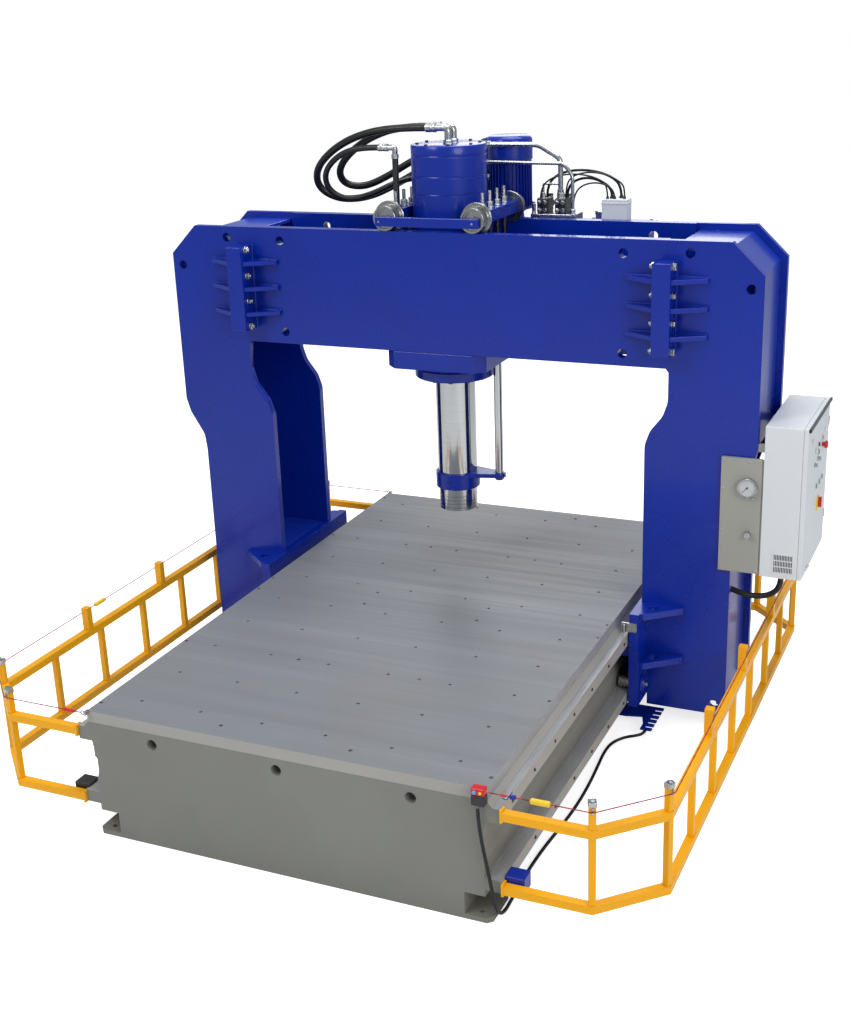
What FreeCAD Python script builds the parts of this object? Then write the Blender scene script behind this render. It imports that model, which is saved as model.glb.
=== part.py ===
import FreeCAD, Part
import math
import os
import re
import Sketcher

# Travelling-portal hydraulic press.  X runs across the bed, Y from its front to its back, Z up.
# The origin lies on the floor under the middle of the bed.  All sizes are in millimetres.

V = FreeCAD.Vector
Rotation = FreeCAD.Rotation
Placement = FreeCAD.Placement

# millimetres; a size that begins with "=" follows from sizes above it
SIZES = {
    # bed
    "bed_length": 3280, "table_width": 2000, "table_height": 655, "table_thickness": 55,
    "hole_pitch": 325, "hole_columns": 6, "hole_rows": 10, "tapped_radius": 8, "tapped_depth": 40,
    "way_half": 1060, "way_reach": 76, "wall_half": "=way_half-way_reach", "waist_step": 12,
    "waist_half": "=wall_half-waist_step", "skirt_step": 97, "skirt_half": "=wall_half-skirt_step",
    "rim_width": 24,
    "upper_way_top": 570, "upper_way_depth": 70, "lower_way_top": 225, "lower_way_depth": 60,
    "skirt_height": 132, "bed_wall": 62, "bed_rib": 50, "deck_thickness": 100,
    "cell_rows": 2, "lifting_radius": 25, "lifting_height": 540, "lifting_pitch": 652,
    "lifting_depth": 52, "foot_length": 200, "foot_thickness": 24, "foot_step": 49,
    "foot_half": "=way_half-foot_step",
    "foot_corner": 22, "anchor_radius": 13, "anchor_edge": 61,
    "anchor_x": "=foot_half-anchor_edge", "anchor_inset": 46,
    # travel stops and cam pads
    "stop_width": 90, "stop_length": 80, "stop_inset": 30, "stop_height": 75, "stop_drop": 5,
    "cam_width": 25, "cam_length": 75, "cam_inset": 80, "cam_thickness": 10,
    # cable comb
    "comb_bottom": 50, "comb_thickness": 10, "comb_front": 145, "comb_reach": 323,
    "comb_arm": 62, "comb_slots": 5, "comb_slot_width": 22, "comb_slot_pitch": 48,
    # portal
    "portal_y": 680, "portal_depth": 610, "leg_plate": 40, "beam_plate": 60,
    "leg_outer": 1543, "knee_run": 113, "portal_half": "=leg_outer+knee_run",
    "portal_top": 2585, "beam_bottom": 1950, "joint_half": 1185, "corner_run": 160,
    "corner_drop": 157, "inner_edge": 1200, "edge_chamfer": 20, "knee_top": 1737,
    "knee_bottom": 1588, "leg_inner": 1084, "outer_knee_top": 1524,
    "outer_knee_bottom": 1339, "knee_break": 42, "leg_bottom": 90, "plate_hole_radius": 24,
    "web_inset": 36, "web_thickness": 20, "web_foot": 40, "shelf_thickness": 25,
    # guard rails
    "rail_size": 40, "post_size": 30, "upper_rail": 545, "lower_rail": 190, "rail_clearance": 44,
    "rail_side_x": "=portal_half+rail_clearance", "rail_corner": 248,
    "rail_front_x": "=rail_side_x-rail_corner", "rail_side_half": 1390, "rail_inset": 5, "rail_bays": 7,
    "rail_plate_thickness": 12, "rail_plate_height": 60, "rail_plate_width": 42,
    "stub_top": 690, "stub_bays": 4, "eye_width": 25, "eye_height": 28,
    # pull ropes and rope switch
    "rope_radius": 2.5, "rope_height": 655, "rope_gap": 0.3, "eye_thickness": 4,
    "corner_eye_width": 10, "corner_eye_thickness": 7.2,
    "rope_bend": 30, "rope_anchor": 1016, "anchor_eye_width": 36, "anchor_eye_depth": 34,
    "anchor_eye_height": 22, "switch_x": 946, "switch_width": 61, "switch_depth": 44,
    "switch_bottom": 592, "switch_body_height": 50, "switch_head_height": 31,
    "reset_radius": 9, "reset_length": 9, "reset_pocket": 7, "cable_radius": 8,
    # shoes, claws and wheels
    "shoe_half_length": 490, "shoe_gap": 10, "shoe_inner": "=way_half+shoe_gap",
    "shoe_thickness": 50, "shoe_bottom": 155,
    "shoe_top": 685, "gusset_reach": 193, "gusset_run": 165, "gusset_thickness": 35,
    "lower_gusset_top": 404, "gusset_hole_radius": 25, "claw_clearance": 12, "claw_height": 63,
    "claw_length": 200, "claw_inset": 40, "claw_gap": 16, "wheel_radius": 35, "wheel_width": 60,
    "wheel_inset": 80, "stub_radius": 18, "wheel_gap": 0.3, "bearing_radius": 50,
    "bearing_height": 20, "bearing_bolt_radius": 14, "bearing_bolt_height": 12,
    # splice flanges
    "flange_width": 46, "flange_proud": 124, "flange_top": 2491, "flange_height": 460,
    "splice_rib_thickness": 24, "splice_rib_reach": 160, "splice_rib_root": 112,
    "splice_rib_tip": 22, "splice_bolts": 4, "splice_bolt_margin": 22, "bolt_radius": 21,
    "bolt_head_height": 17, "bolt_offset": 68,
    # travel sensor
    "sensor_plate": 10, "sensor_plate_width": 80, "sensor_height": 50, "sensor_radius": 9,
    "sensor_gap": 8,
    # hydraulic panel and gauge
    "panel_inset": 59, "panel_inner": "=leg_outer-panel_inset", "panel_gap": 8,
    "cabinet_standoff": 38, "cabinet_inner": "=portal_half+cabinet_standoff",
    "panel_outer": "=cabinet_inner-panel_gap", "panel_bottom": 927, "panel_top": 1530,
    "panel_depth": 25, "sheet": 3, "gauge_inset": 65,
    "gauge_x": "=panel_outer-gauge_inset", "gauge_z": 1386, "gauge_radius": 50,
    "gauge_depth": 30, "gauge_recess": 7, "gauge_rim": 6, "pointer_length": 34,
    "pointer_width": 6, "pointer_thickness": 2.5, "pointer_gap": 0.3, "knob_inset": 55,
    "knob_x": "=panel_outer-knob_inset",
    "knob_z": 1139, "knob_radius": 17.5, "knob_length": 32, "knob_gap": 0.3,
    # control cabinet
    "cabinet_depth": 186, "cabinet_front": 347, "cabinet_back": 976,
    "cabinet_bottom": 919, "cabinet_top": 1705, "door_thickness": 23, "door_gap": 0.3,
    "rain_strip": 8, "bracket_width": 30, "bracket_height": 40, "upper_bracket": 1560,
    "lower_bracket": 960, "mounting_margin": 60, "mounting_offset": 22,
    "button_radius": 12, "button_length": 12, "button_pocket": 9, "button_play": 0.4,
    "button_rest": 4.5, "lamp_radius": 11, "lamp_length": 9,
    "key_radius": 13, "key_length": 16, "turn_gap": 0.3, "mushroom_radius": 20,
    "mushroom_height": 16, "mushroom_stem": 12, "mushroom_stem_length": 17,
    "cable_inset": 93, "cable_entry": 790, "cable_sag": 159, "main_plate": 66,
    "main_plate_thickness": 6, "handle_radius": 24, "handle_length": 16,
    "lock_length": 60, "lock_width": 14, "lock_thickness": 11, "lock_z": 941, "lock_y": 460,
    # power pack
    "tank_gap": 25, "tank_depth": 350, "tank_left": -350, "tank_right": 850, "tank_bottom": 1850,
    "tank_top": 2520, "lid_thickness": 10, "lid_edge": 15, "tank_rail_width": 60,
    "motor_x": 61, "motor_y": 1205, "bell_radius": 90, "bell_height": 70, "motor_radius": 125,
    "fin_depth": 16, "fin_count": 10, "motor_length": 270, "cowl_radius": 128,
    "cowl_height": 130, "terminal_width": 48, "terminal_depth": 110, "terminal_height": 150,
    "manifold_left": 250, "manifold_right": 505, "manifold_front": 1014, "manifold_back": 1150,
    "manifold_height": 70, "valve_width": 60, "valve_height": 80, "valve_front": 1035,
    "valve_depth": 105, "first_valve": 280, "second_valve": 382, "coil_radius": 22,
    "coil_length": 60, "pressure_radius": 14, "return_radius": 10, "pressure_y": 1055,
    "pressure_z": 2962, "pressure_x": 410, "return_y": 1026, "return_z": 2872, "return_x": 487,
    "pipe_bend": 60, "third_y": 1040, "third_z": 2790, "bulkhead_x": -30,
    "bulkhead_thickness": 12, "bulkhead_width": 68, "bulkhead_top": 3000, "junction_x": 640,
    "junction_width": 140, "junction_y": 1052, "junction_depth": 92, "junction_height": 150,
    "control_cable_radius": 7, "cabinet_cable_radius": 15,
    # carriage
    "carriage_x": -80, "bar_half": 290, "bar_thickness": 23, "bar_clearance": 2,
    "bar_bottom": 2613, "bar_height": 49, "roller_radius": 65, "roller_offset": 246,
    "roller_flange_radius": 85, "roller_flange": 14, "flange_clearance": 2, "side_gap": 0.3,
    "pin_radius": 25, "running_fit": 0.06, "arm_width": 90, "arm_bottom": 2620,
    "arm_height": 65, "stud_pitch": 102, "stud_radius": 10, "nut_radius": 22, "nut_height": 37,
    "stud_end": 50, "sleeve_radius": 14, "barrel_radius": 200, "barrel_top": 3005,
    "barrel_bore": 125, "barrel_end": 215, "block_half": 285,
    "block_height": 98, "block_clearance": 2, "block_chamfer": 60,
    "gland_radius": 220, "gland_height": 87, "port_x": -66,
    "port_spacing": 70, "port_z": 3087, "port_radius": 22, "port_reach": 64, "port_bend": 45,
    "ferrule_radius": 25, "ferrule_length": 60, "side_port_x": -345, "side_port_y": 580,
    "side_port_z": 2990, "side_pipe_radius": 17, "side_pipe_reach": 36, "side_pipe_bend": 26,
    "side_ferrule_radius": 20, "side_ferrule_length": 60, "cap_hose_radius": 20,
    "side_hose_radius": 16, "hose_gap": 0.2, "first_hose_reach": 725, "first_hose_drop": 407,
    "second_hose_reach": 602, "second_hose_drop": 342, "side_hose_reach": 347,
    "side_hose_drop": 295, "hose_lead": 160,
    # ram
    "ram_radius": 110, "ram_top": 2300, "nose_radius": 107, "nose_bottom": 993,
    "nose_top": 1120,
    "collar_radius": 124, "collar_top": 1210,
    "collar_fit": 0.05, "guide_x": 172, "guide_radius": 23, "guide_top": 2140,
    "guide_arm_half": 36, "guide_arm_thickness": 24, "guide_arm_bottom": 1190,
}

doc = FreeCAD.newDocument("travelling_portal_press")
sheet = doc.addObject("Spreadsheet::Sheet", "Sizes")
for row, (name, value) in enumerate(SIZES.items(), 1):
    sheet.set("A%d" % row, name)
    sheet.set("B%d" % row, str(value))
    sheet.setAlias("B%d" % row, name)
doc.recompute()

WORD = re.compile(r"[a-z][a-z_]*")
AXES = {"x": V(1, 0, 0), "y": V(0, 1, 0), "z": V(0, 0, 1)}
PLANES = {"xy": "XY_Plane", "xz": "XZ_Plane", "yz": "YZ_Plane"}
nodes = []


def full(text):
    """Expression with every size named through the sheet."""
    return WORD.sub(lambda found: "Sizes." + found.group(0) if found.group(0) in SIZES
                    else found.group(0), str(text))


def size(text):
    """Value of an expression in millimetres."""
    return float(sheet.evalExpression(full(text)))


def bind(item, **links):
    """Binds properties such as Length or Placement__Base__x to expressions."""
    for prop, text in links.items():
        item.setExpression(prop.replace("__", "."), full(text))
    return item


def place(item, x="0", y="0", z="0"):
    return bind(item, Placement__Base__x=x, Placement__Base__y=y, Placement__Base__z=z)


def box(x0, x1, y0, y1, z0, z1):
    item = doc.addObject("Part::Box", "block")
    bind(item, Length="(%s)-(%s)" % (x1, x0), Width="(%s)-(%s)" % (y1, y0),
         Height="(%s)-(%s)" % (z1, z0))
    return place(item, x0, y0, z0)


def across_flats(radius, sides):
    """Corner radius of a faceted bore that a shaft of this radius just fits."""
    return "(%s)*%.6f" % (radius, 1 / math.cos(math.pi / sides))


def turned_to(item, axis, x, y, z):
    """Stands a piece made along +Z on a point, pointing along the named axis."""
    direction = AXES[axis[-1]] * (-1 if axis[0] == "-" else 1)
    item.Placement = Placement(V(0, 0, 0), Rotation(V(0, 0, 1), direction))
    return place(item, x, y, z)


def rod(radius, length, axis, x, y, z):
    item = doc.addObject("Part::Cylinder", "rod")
    bind(item, Radius=radius, Height=length)
    return turned_to(item, axis, x, y, z)


def prism(sides, radius, length, axis, x, y, z):
    item = doc.addObject("Part::Prism", "prism")
    item.Polygon = sides
    bind(item, Circumradius=radius, Height=length)
    return turned_to(item, axis, x, y, z)


def sketch(body, plane, loops):
    """Closed outlines on an origin plane of the body, every corner bound to the sheet."""
    outline = body.newObject("Sketcher::SketchObject", "outline")
    role = {feature.Role: feature for feature in body.Origin.OriginFeatures}
    outline.AttachmentSupport = [(role[PLANES[plane]], "")]
    outline.MapMode = "FlatFace"
    first = 0
    for points in loops:
        count = len(points)
        corners = [V(size(a), size(b), 0) for a, b in points]
        outline.addGeometry([Part.LineSegment(corners[i], corners[(i + 1) % count])
                             for i in range(count)], False)
        outline.addConstraint([Sketcher.Constraint("Coincident", first + i, 2,
                                                   first + (i + 1) % count, 1)
                               for i in range(count)])
        for i, (a, b) in enumerate(points):
            for kind, text, value in (("DistanceX", a, corners[i].x),
                                      ("DistanceY", b, corners[i].y)):
                index = outline.addConstraint(
                    Sketcher.Constraint(kind, -1, 1, first + i, 1, value))
                if re.search("[a-z]", str(text)):
                    outline.setExpression("Constraints[%d]" % index, full(text))
        first += count
    return outline


def plate(plane, points, start, thickness, knees=(), size_of_knee=None):
    """Padded outline; knees are outline corners that are broken by a chamfer."""
    body = doc.addObject("PartDesign::Body", "plate")
    pad = body.newObject("PartDesign::Pad", "pad")
    pad.Profile = sketch(body, plane, [points])
    bind(pad, Length=thickness)
    body.Tip = pad
    doc.recompute()
    if knees:
        names = []
        for index, edge in enumerate(pad.Shape.Edges, 1):
            ends = [vertex.Point for vertex in edge.Vertexes]
            for a, b in knees:
                if all(math.hypot(p.x - size(a), p.z - size(b)) < 0.01 for p in ends):
                    names.append("Edge%d" % index)
        softened = body.newObject("PartDesign::Chamfer", "knees")
        softened.Base = (pad, names)
        bind(softened, Size=size_of_knee)
        body.Tip = softened
    if plane == "xz":
        return place(body, y="(%s)+(%s)" % (start, thickness))
    return place(body, z=start) if plane == "xy" else place(body, x=start)


def turned(points, axis, x, y, z):
    """Revolved outline of (radius, distance along the axis) corners."""
    body = doc.addObject("PartDesign::Body", "turned")
    outline = sketch(body, "xz", [points])
    role = {feature.Role: feature for feature in body.Origin.OriginFeatures}
    revolution = body.newObject("PartDesign::Revolution", "revolution")
    revolution.Profile = outline
    revolution.ReferenceAxis = (role["Z_Axis"], [""])
    revolution.Angle = 360
    body.Tip = revolution
    return turned_to(body, axis, x, y, z)


def group(items):
    item = doc.addObject("Part::Compound", "group")
    item.Links = items
    return item


def fuse(items):
    item = doc.addObject("Part::MultiFuse", "fusion")
    item.Shapes = items
    return item


def cut(base, tools):
    item = doc.addObject("Part::Cut", "cut")
    item.Base = base
    item.Tool = tools[0] if len(tools) == 1 else group(tools)
    return item


def pointed_hole(radius, depth, x, y, z):
    """Six-sided blind hole that ends in a point, open upwards."""
    rim = [V(size(radius) * math.cos(math.pi * k / 3), size(radius) * math.sin(math.pi * k / 3), 0)
           for k in range(6)]
    tip = V(0, 0, -size(depth))
    faces = [Part.Face(Part.makePolygon(rim + rim[:1]))]
    for a, b in zip(rim, rim[1:] + rim[:1]):
        faces.append(Part.Face(Part.makePolygon([a, b, tip, a])))
    item = doc.addObject("Part::Feature", "pointed_hole")
    item.Shape = Part.makeSolid(Part.makeShell(faces))
    item.Placement = Placement(V(0, 0, 0), Rotation())
    return place(item, x, y, z)


def mirror(source, axis, at="0"):
    item = doc.addObject("Part::Mirroring", "mirror")
    item.Source = source
    item.Normal = AXES[axis]
    bind(item, **{"Base__" + axis: at})
    return item


def node(name, item):
    """Names a finished piece; its label is its file's name."""
    item.Label = name
    nodes.append(item)
    return item


def draped(start, end, reach, drop, shares):
    """Route between two points; its shares are of the reach to the left, of the way from
    start to end, and of the drop below the start."""
    return [start] + [(start[0] - reach * a, start[1] + (end[1] - start[1]) * b,
                       start[2] - drop * c) for a, b, c in shares] + [end]


def swept(name, points, radius, sides, bend=None):
    """Faceted tube along straight runs joined by tangent arcs, each arc drawn as chords."""
    corners = [V(*point) for point in points]
    path = [corners[0]]
    radii = []
    for i in range(1, len(corners) - 1):
        back = corners[i - 1] - corners[i]
        ahead = corners[i + 1] - corners[i]
        turn = math.pi - back.getAngle(ahead)
        shorter = min(back.Length, ahead.Length)
        arc_radius = bend if bend else 0.45 * shorter / math.tan(turn / 2)
        trim = arc_radius * math.tan(turn / 2)
        back.normalize()
        ahead.normalize()
        first = corners[i] + back * trim
        last = corners[i] + ahead * trim
        inward = back + ahead
        inward.normalize()
        middle = corners[i] + inward * (arc_radius / math.cos(turn / 2) - arc_radius)
        chords = [first, last]
        if turn > math.radians(55):
            chords = Part.Arc(first, middle, last).toShape().discretize(4)
        path += chords if turn > math.radians(17) else [corners[i]]
        radii.append(arc_radius)
    path.append(corners[-1])
    wire = Part.makePolygon(path)
    along = corners[1] - corners[0]
    turn = Rotation(V(0, 0, 1), along)
    ring = [corners[0] + turn.multVec(V(radius * math.cos(2 * math.pi * (k + 0.5) / sides),
                                        radius * math.sin(2 * math.pi * (k + 0.5) / sides), 0))
            for k in range(sides)]
    section = Part.makePolygon(ring + ring[:1])
    solid = wire.makePipeShell([section], True, False, 1)
    area = sides / 2 * radius ** 2 * math.sin(2 * math.pi / sides)
    print("%s: length %.0f, radii %s, volume ratio %.4f"
          % (name, wire.Length, " ".join("%.0f" % r for r in radii),
             solid.Volume / (area * wire.Length)))
    item = doc.addObject("Part::Feature", name + "_tube")
    item.Shape = solid
    item.Placement = Placement(V(0, 0, 0), Rotation())
    return item


# ---------------------------------------------------------------- bed casting
half_length = "bed_length/2"
casting_top = "(table_height-table_thickness)"
right_side = [
    ("table_width/2", casting_top),
    ("table_width/2+rim_width", "upper_way_top"),
    ("way_half", "upper_way_top"),
    ("way_half", "upper_way_top-upper_way_depth"),
    ("wall_half+6", "upper_way_top-upper_way_depth"),
    ("wall_half", "upper_way_top-upper_way_depth-35"),
    ("wall_half", "upper_way_top-150"),
    ("waist_half", "upper_way_top-160"),
    ("waist_half", "lower_way_top+117"),
    ("wall_half", "lower_way_top+75"),
    ("wall_half", "lower_way_top"),
    ("way_half", "lower_way_top"),
    ("way_half", "lower_way_top-lower_way_depth"),
    ("wall_half", "lower_way_top-lower_way_depth"),
    ("wall_half", "skirt_height"),
    ("skirt_half", "skirt_height"),
    ("skirt_half", "0"),
]
outline = right_side + [("-(%s)" % a, b) for a, b in reversed(right_side)]
profile = plate("xz", outline, "-" + half_length, "bed_length")
cavity = "(skirt_half-bed_wall)"
cells = []
rows = int(size("cell_rows"))
for i in range(rows):
    low = "-%s+bed_wall+(bed_length-2*bed_wall+bed_rib)/cell_rows*%d" % (half_length, i)
    high = "%s+(bed_length-2*bed_wall+bed_rib)/cell_rows-bed_rib" % low
    ceiling = casting_top + "-deck_thickness"
    cells.append(box("bed_rib/2", cavity, low, high, "-1", ceiling))
    cells.append(box("-" + cavity, "-bed_rib/2", low, high, "-1", ceiling))
for i in (-1, 0, 1):
    across = "lifting_pitch*%d" % i
    cells.append(prism(8, "lifting_radius", "lifting_depth+1", "y", across,
                       "-%s-1" % half_length, "lifting_height"))
    cells.append(prism(8, "lifting_radius", "lifting_depth+1", "-y", across,
                       half_length + "+1", "lifting_height"))
feet = []
for front in (True, False):
    end_y, inward = ("-" + half_length, "+") if front else (half_length, "-")
    outline = [("skirt_half", end_y), ("foot_half-foot_corner", end_y),
               ("foot_half", end_y + inward + "foot_corner"),
               ("foot_half", end_y + inward + "foot_length"),
               ("skirt_half", end_y + inward + "foot_length")]
    foot = cut(plate("xy", outline if front else outline[::-1], "0", "foot_thickness"),
               [rod("anchor_radius", "foot_thickness+2", "z", "anchor_x",
                    end_y + inward + "anchor_inset", "-1")])
    feet += [foot, mirror(foot, "x")]
node("bed_casting", fuse([cut(profile, cells)] + feet))

# ---------------------------------------------------------------- table plates
plates = []
for side in (-1, 1):
    low = "-" + half_length if side < 0 else "0"
    high = "0" if side < 0 else half_length
    blank = box("-table_width/2", "table_width/2", low, high, casting_top, "table_height")
    holes = []
    for i in range(int(size("hole_columns"))):
        for j in range(int(size("hole_rows")) // 2):
            holes.append(pointed_hole("tapped_radius", "tapped_depth",
                                      "hole_pitch*(%d-(hole_columns-1)/2)" % i,
                                      "%d*hole_pitch*(%d+0.5)" % (side, j), "table_height"))
    plates.append(cut(blank, holes))
node("table_plates", group(plates))

# ---------------------------------------------------------------- travel stops, cam pads, rope eyes
stops = []
for start in ("-%s+stop_inset" % half_length, half_length + "-stop_inset-stop_length"):
    low = "lower_way_top-lower_way_depth-stop_drop"
    stop = box("way_half", "way_half+stop_width", start, start + "+stop_length", low,
               low + "+stop_height")
    stops += [stop, mirror(stop, "x")]
for start in ("-%s+cam_inset" % half_length, half_length + "-cam_inset-cam_length"):
    cam = plate("yz", [(start, "upper_way_top"), (start + "+cam_length", "upper_way_top"),
                       (start + "+cam_length-cam_thickness", "upper_way_top+cam_thickness"),
                       (start + "+cam_thickness", "upper_way_top+cam_thickness")],
                "way_half-cam_width", "cam_width")
    stops += [cam, mirror(cam, "x")]
eye_low = "rope_height-anchor_eye_height/2"
rear_eye = box("rope_anchor-anchor_eye_width", "rope_anchor", half_length,
               half_length + "+anchor_eye_depth", eye_low, eye_low + "+anchor_eye_height")
front_eye = box("-rope_anchor", "anchor_eye_width-rope_anchor",
                "-%s-anchor_eye_depth" % half_length, "-" + half_length,
                eye_low, eye_low + "+anchor_eye_height")
node("bed_fittings", group(stops + [rear_eye, mirror(rear_eye, "x"), front_eye]))

# ---------------------------------------------------------------- cable comb
comb_outer = "(skirt_half+comb_reach)"
comb_back = "comb_front+comb_slots*comb_slot_pitch+24"
comb_outline = [
    ("skirt_half", "comb_front+120"), ("skirt_half+150", "comb_front+120"),
    ("skirt_half+235", "comb_front+140"), (comb_outer + "-comb_arm", "comb_front+60"),
    (comb_outer + "-comb_arm", "comb_front"), (comb_outer, "comb_front"),
]
for i in range(int(size("comb_slots"))):
    low = "comb_front+24+comb_slot_pitch*%d" % i
    comb_outline += [(comb_outer, low), (comb_outer + "-comb_arm+22", low),
                     (comb_outer + "-comb_arm+22", low + "+comb_slot_width"),
                     (comb_outer, low + "+comb_slot_width")]
comb_outline += [(comb_outer, comb_back), (comb_outer + "-comb_arm", comb_back),
                 ("skirt_half+140", comb_back), ("skirt_half", "comb_front+250")]
node("cable_comb", plate("xy", comb_outline, "comb_bottom", "comb_thickness"))


# ---------------------------------------------------------------- guard rails
def mitred(points, half):
    """Plan outlines of the runs of a rail that bends at mitred corners."""
    def shifted(distance):
        lines = []
        for a, b in zip(points, points[1:]):
            along = b - a
            along.normalize()
            normal = V(along.y, -along.x, 0)
            lines.append((a + normal * distance, along))
        corners = [lines[0][0]]
        for (p, d), (q, e) in zip(lines, lines[1:]):
            cross = d.x * e.y - d.y * e.x
            step = ((q.x - p.x) * e.y - (q.y - p.y) * e.x) / cross
            corners.append(p + d * step)
        last, along = lines[-1]
        corners.append(last + along * (points[-1] - points[-2]).Length)
        return corners
    outer, inner = shifted(half), shifted(-half)
    return [[outer[i], outer[i + 1], inner[i + 1], inner[i]] for i in range(len(points) - 1)]


rail_end = size("way_half+rail_plate_thickness")
end_y = size("bed_length/2-rail_inset")
side_y = size("rail_side_half")
side_x = size("rail_side_x")
front_x = size("rail_front_x")
route = [V(rail_end, -end_y, 0), V(front_x, -end_y, 0), V(side_x, -side_y, 0),
         V(side_x, side_y, 0), V(front_x, end_y, 0), V(rail_end, end_y, 0)]
rail_items = []
for height in ("upper_rail", "lower_rail"):
    for corners in mitred(route, size("rail_size/2")):
        face = Part.Face(Part.makePolygon(corners + corners[:1]))
        run = doc.addObject("Part::Feature", "rail_run")
        run.Shape = face.extrude(V(0, 0, size("rail_size")))
        run.Placement = Placement(V(0, 0, 0), Rotation())
        rail_items.append(place(run, z=height + "-rail_size/2"))
    for sign in ("-", ""):
        middle = "%s(bed_length/2-rail_inset)" % sign
        outward = "-" if sign else "+"
        inward = "+" if sign else "-"
        edges = sorted([middle + outward + "rail_size/2",
                        middle + inward + "(rail_plate_width-rail_size/2)"], key=size)
        rail_items.append(box("way_half", "way_half+rail_plate_thickness", edges[0], edges[1],
                              height + "-rail_plate_height/2", height + "+rail_plate_height/2"))

half_turn = 22.5
corners = [(side_x, -side_y, -half_turn), (side_x, side_y, half_turn),
           (front_x, -end_y, half_turn - 90), (front_x, end_y, 90 - half_turn)]


def upright(x, y, facing, width, low, high):
    """Square post on a point of the route; one side faces outwards."""
    item = doc.addObject("Part::Box", "upright")
    bind(item, Length=width, Width=width, Height="(%s)-(%s)" % (high, low))
    half = size(width) / 2
    spin = Rotation(V(0, 0, 1), facing)
    item.Placement = Placement(V(x, y, 0) + spin.multVec(V(-half, -half, 0)), spin)
    return bind(item, Placement__Base__z=low)


def spaced(name):
    """Points along the straight side between its two corners."""
    bays = int(size(name))
    return [(side_x, -side_y + 2 * side_y * i / bays, 0) for i in range(1, bays)]


for x, y, facing in spaced("rail_bays") + corners:
    rail_items.append(upright(x, y, facing, "post_size", "lower_rail+rail_size/2",
                              "upper_rail-rail_size/2"))
for x, y, facing in spaced("stub_bays") + corners:
    kind, width = ("corner_eye", "post_size") if facing else ("eye", "rail_size")
    rail_items.append(upright(x, y, facing, width, "upper_rail+rail_size/2", "stub_top"))
    item = doc.addObject("Part::Box", "eye")
    bind(item, Length=kind + "_thickness", Width=kind + "_width", Height="eye_height")
    spin = Rotation(V(0, 0, 1), facing)
    seat = V(size(width + "/2"), -size(kind + "_width") / 2, 0)
    item.Placement = Placement(V(x, y, 0) + spin.multVec(seat), spin)
    rail_items.append(bind(item, Placement__Base__z="rope_height-eye_height/2"))
guard_right = node("guard_rail_right", group(rail_items))
node("guard_rail_left", mirror(guard_right, "x"))

# ---------------------------------------------------------------- pull ropes
rope_shift = size("rail_size/2+eye_thickness+rope_gap+rope_radius")
rope_end_x = size("rope_anchor")
rope_route = mitred([V(rope_end_x, -end_y, 0)] + route[1:5] + [V(rope_end_x, end_y, 0)],
                    rope_shift)
rope_z = size("rope_height")
rope_points = [(run[0].x, run[0].y, rope_z) for run in rope_route]
rope_points.append((rope_route[-1][1].x, rope_route[-1][1].y, rope_z))
rope = node("rope_right", swept("rope", rope_points, size("rope_radius"), 4, size("rope_bend")))
node("rope_left", mirror(rope, "x"))
# ---------------------------------------------------------------- rope switch with its cable
switch_front = "-%s-switch_depth" % half_length
head_low = "switch_bottom+switch_body_height"
switch_right = "switch_x+switch_width"
switch_body = box("switch_x", switch_right, switch_front, "-" + half_length, "switch_bottom",
                  head_low)
head = cut(box("switch_x", switch_right, switch_front, "-" + half_length, head_low,
               head_low + "+switch_head_height"),
           [prism(8, "reset_radius+button_play", "reset_pocket+1", "y", "switch_x+18",
                  switch_front + "-1", head_low + "+switch_head_height/2")])
switch_eye = box(switch_right, "rope_anchor", switch_front + "+4",
                 "-%s-4" % half_length, eye_low, eye_low + "+anchor_eye_height")
node("rope_switch", group([switch_body, head, switch_eye]))
node("rope_switch_reset", prism(8, "reset_radius", "reset_length", "-y", "switch_x+18",
                                switch_front + "+reset_pocket-button_rest",
                                head_low + "+switch_head_height/2"))
front_y = -size(half_length)
cable_run = size("comb_front") - front_y
comb_x = size("skirt_half+comb_reach-comb_arm/2")
cable_points = [
    (967, front_y - 22, size("switch_bottom")), (970, front_y - 22, 520),
    (982, front_y - 24, 425), (1001, front_y - 27, 330), (1018, front_y - 26, 232),
    (1029, front_y - 19, 145), (1034, front_y + 5, 66)]
floor_points = [
    (1036, 0.0403, 14), (1029, 0.112, 9), (1022, 0.2157, 10), (1025, 0.3361, 9),
    (1042, 0.4482, 10), (1053, 0.5658, 9), (1049, 0.6835, 10), (1034, 0.7955, 9),
    (1022, 0.8739, 10), (1032, 0.93, 16), (1085, 0.9591, 32), (1150, 0.9636, 50)]
cable_points += [(x, front_y + cable_run * share, z) for x, share, z in floor_points]
cable_points += [(comb_x, size("comb_front") - 40, 55), (comb_x, size("comb_front"), 55)]
node("switch_cable", swept("switch_cable", cable_points, size("cable_radius"), 5))

# ---------------------------------------------------------------- portal beams
portal_front = "(portal_y-portal_depth/2)"
portal_back = "(portal_y+portal_depth/2)"
beam = plate("xz", [("-joint_half", "beam_bottom"), ("joint_half", "beam_bottom"),
                    ("joint_half", "portal_top"), ("-joint_half", "portal_top")],
             portal_front, "beam_plate")
beam_holes = [prism(8, "plate_hole_radius", "beam_plate+2", "y", x, portal_front + "-1", z)
              for x in ("-962", "962") for z in ("beam_bottom+64", "portal_top-70")]
front_beam = node("front_beam", cut(beam, beam_holes))
node("back_beam", mirror(front_beam, "y", "portal_y"))

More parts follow.
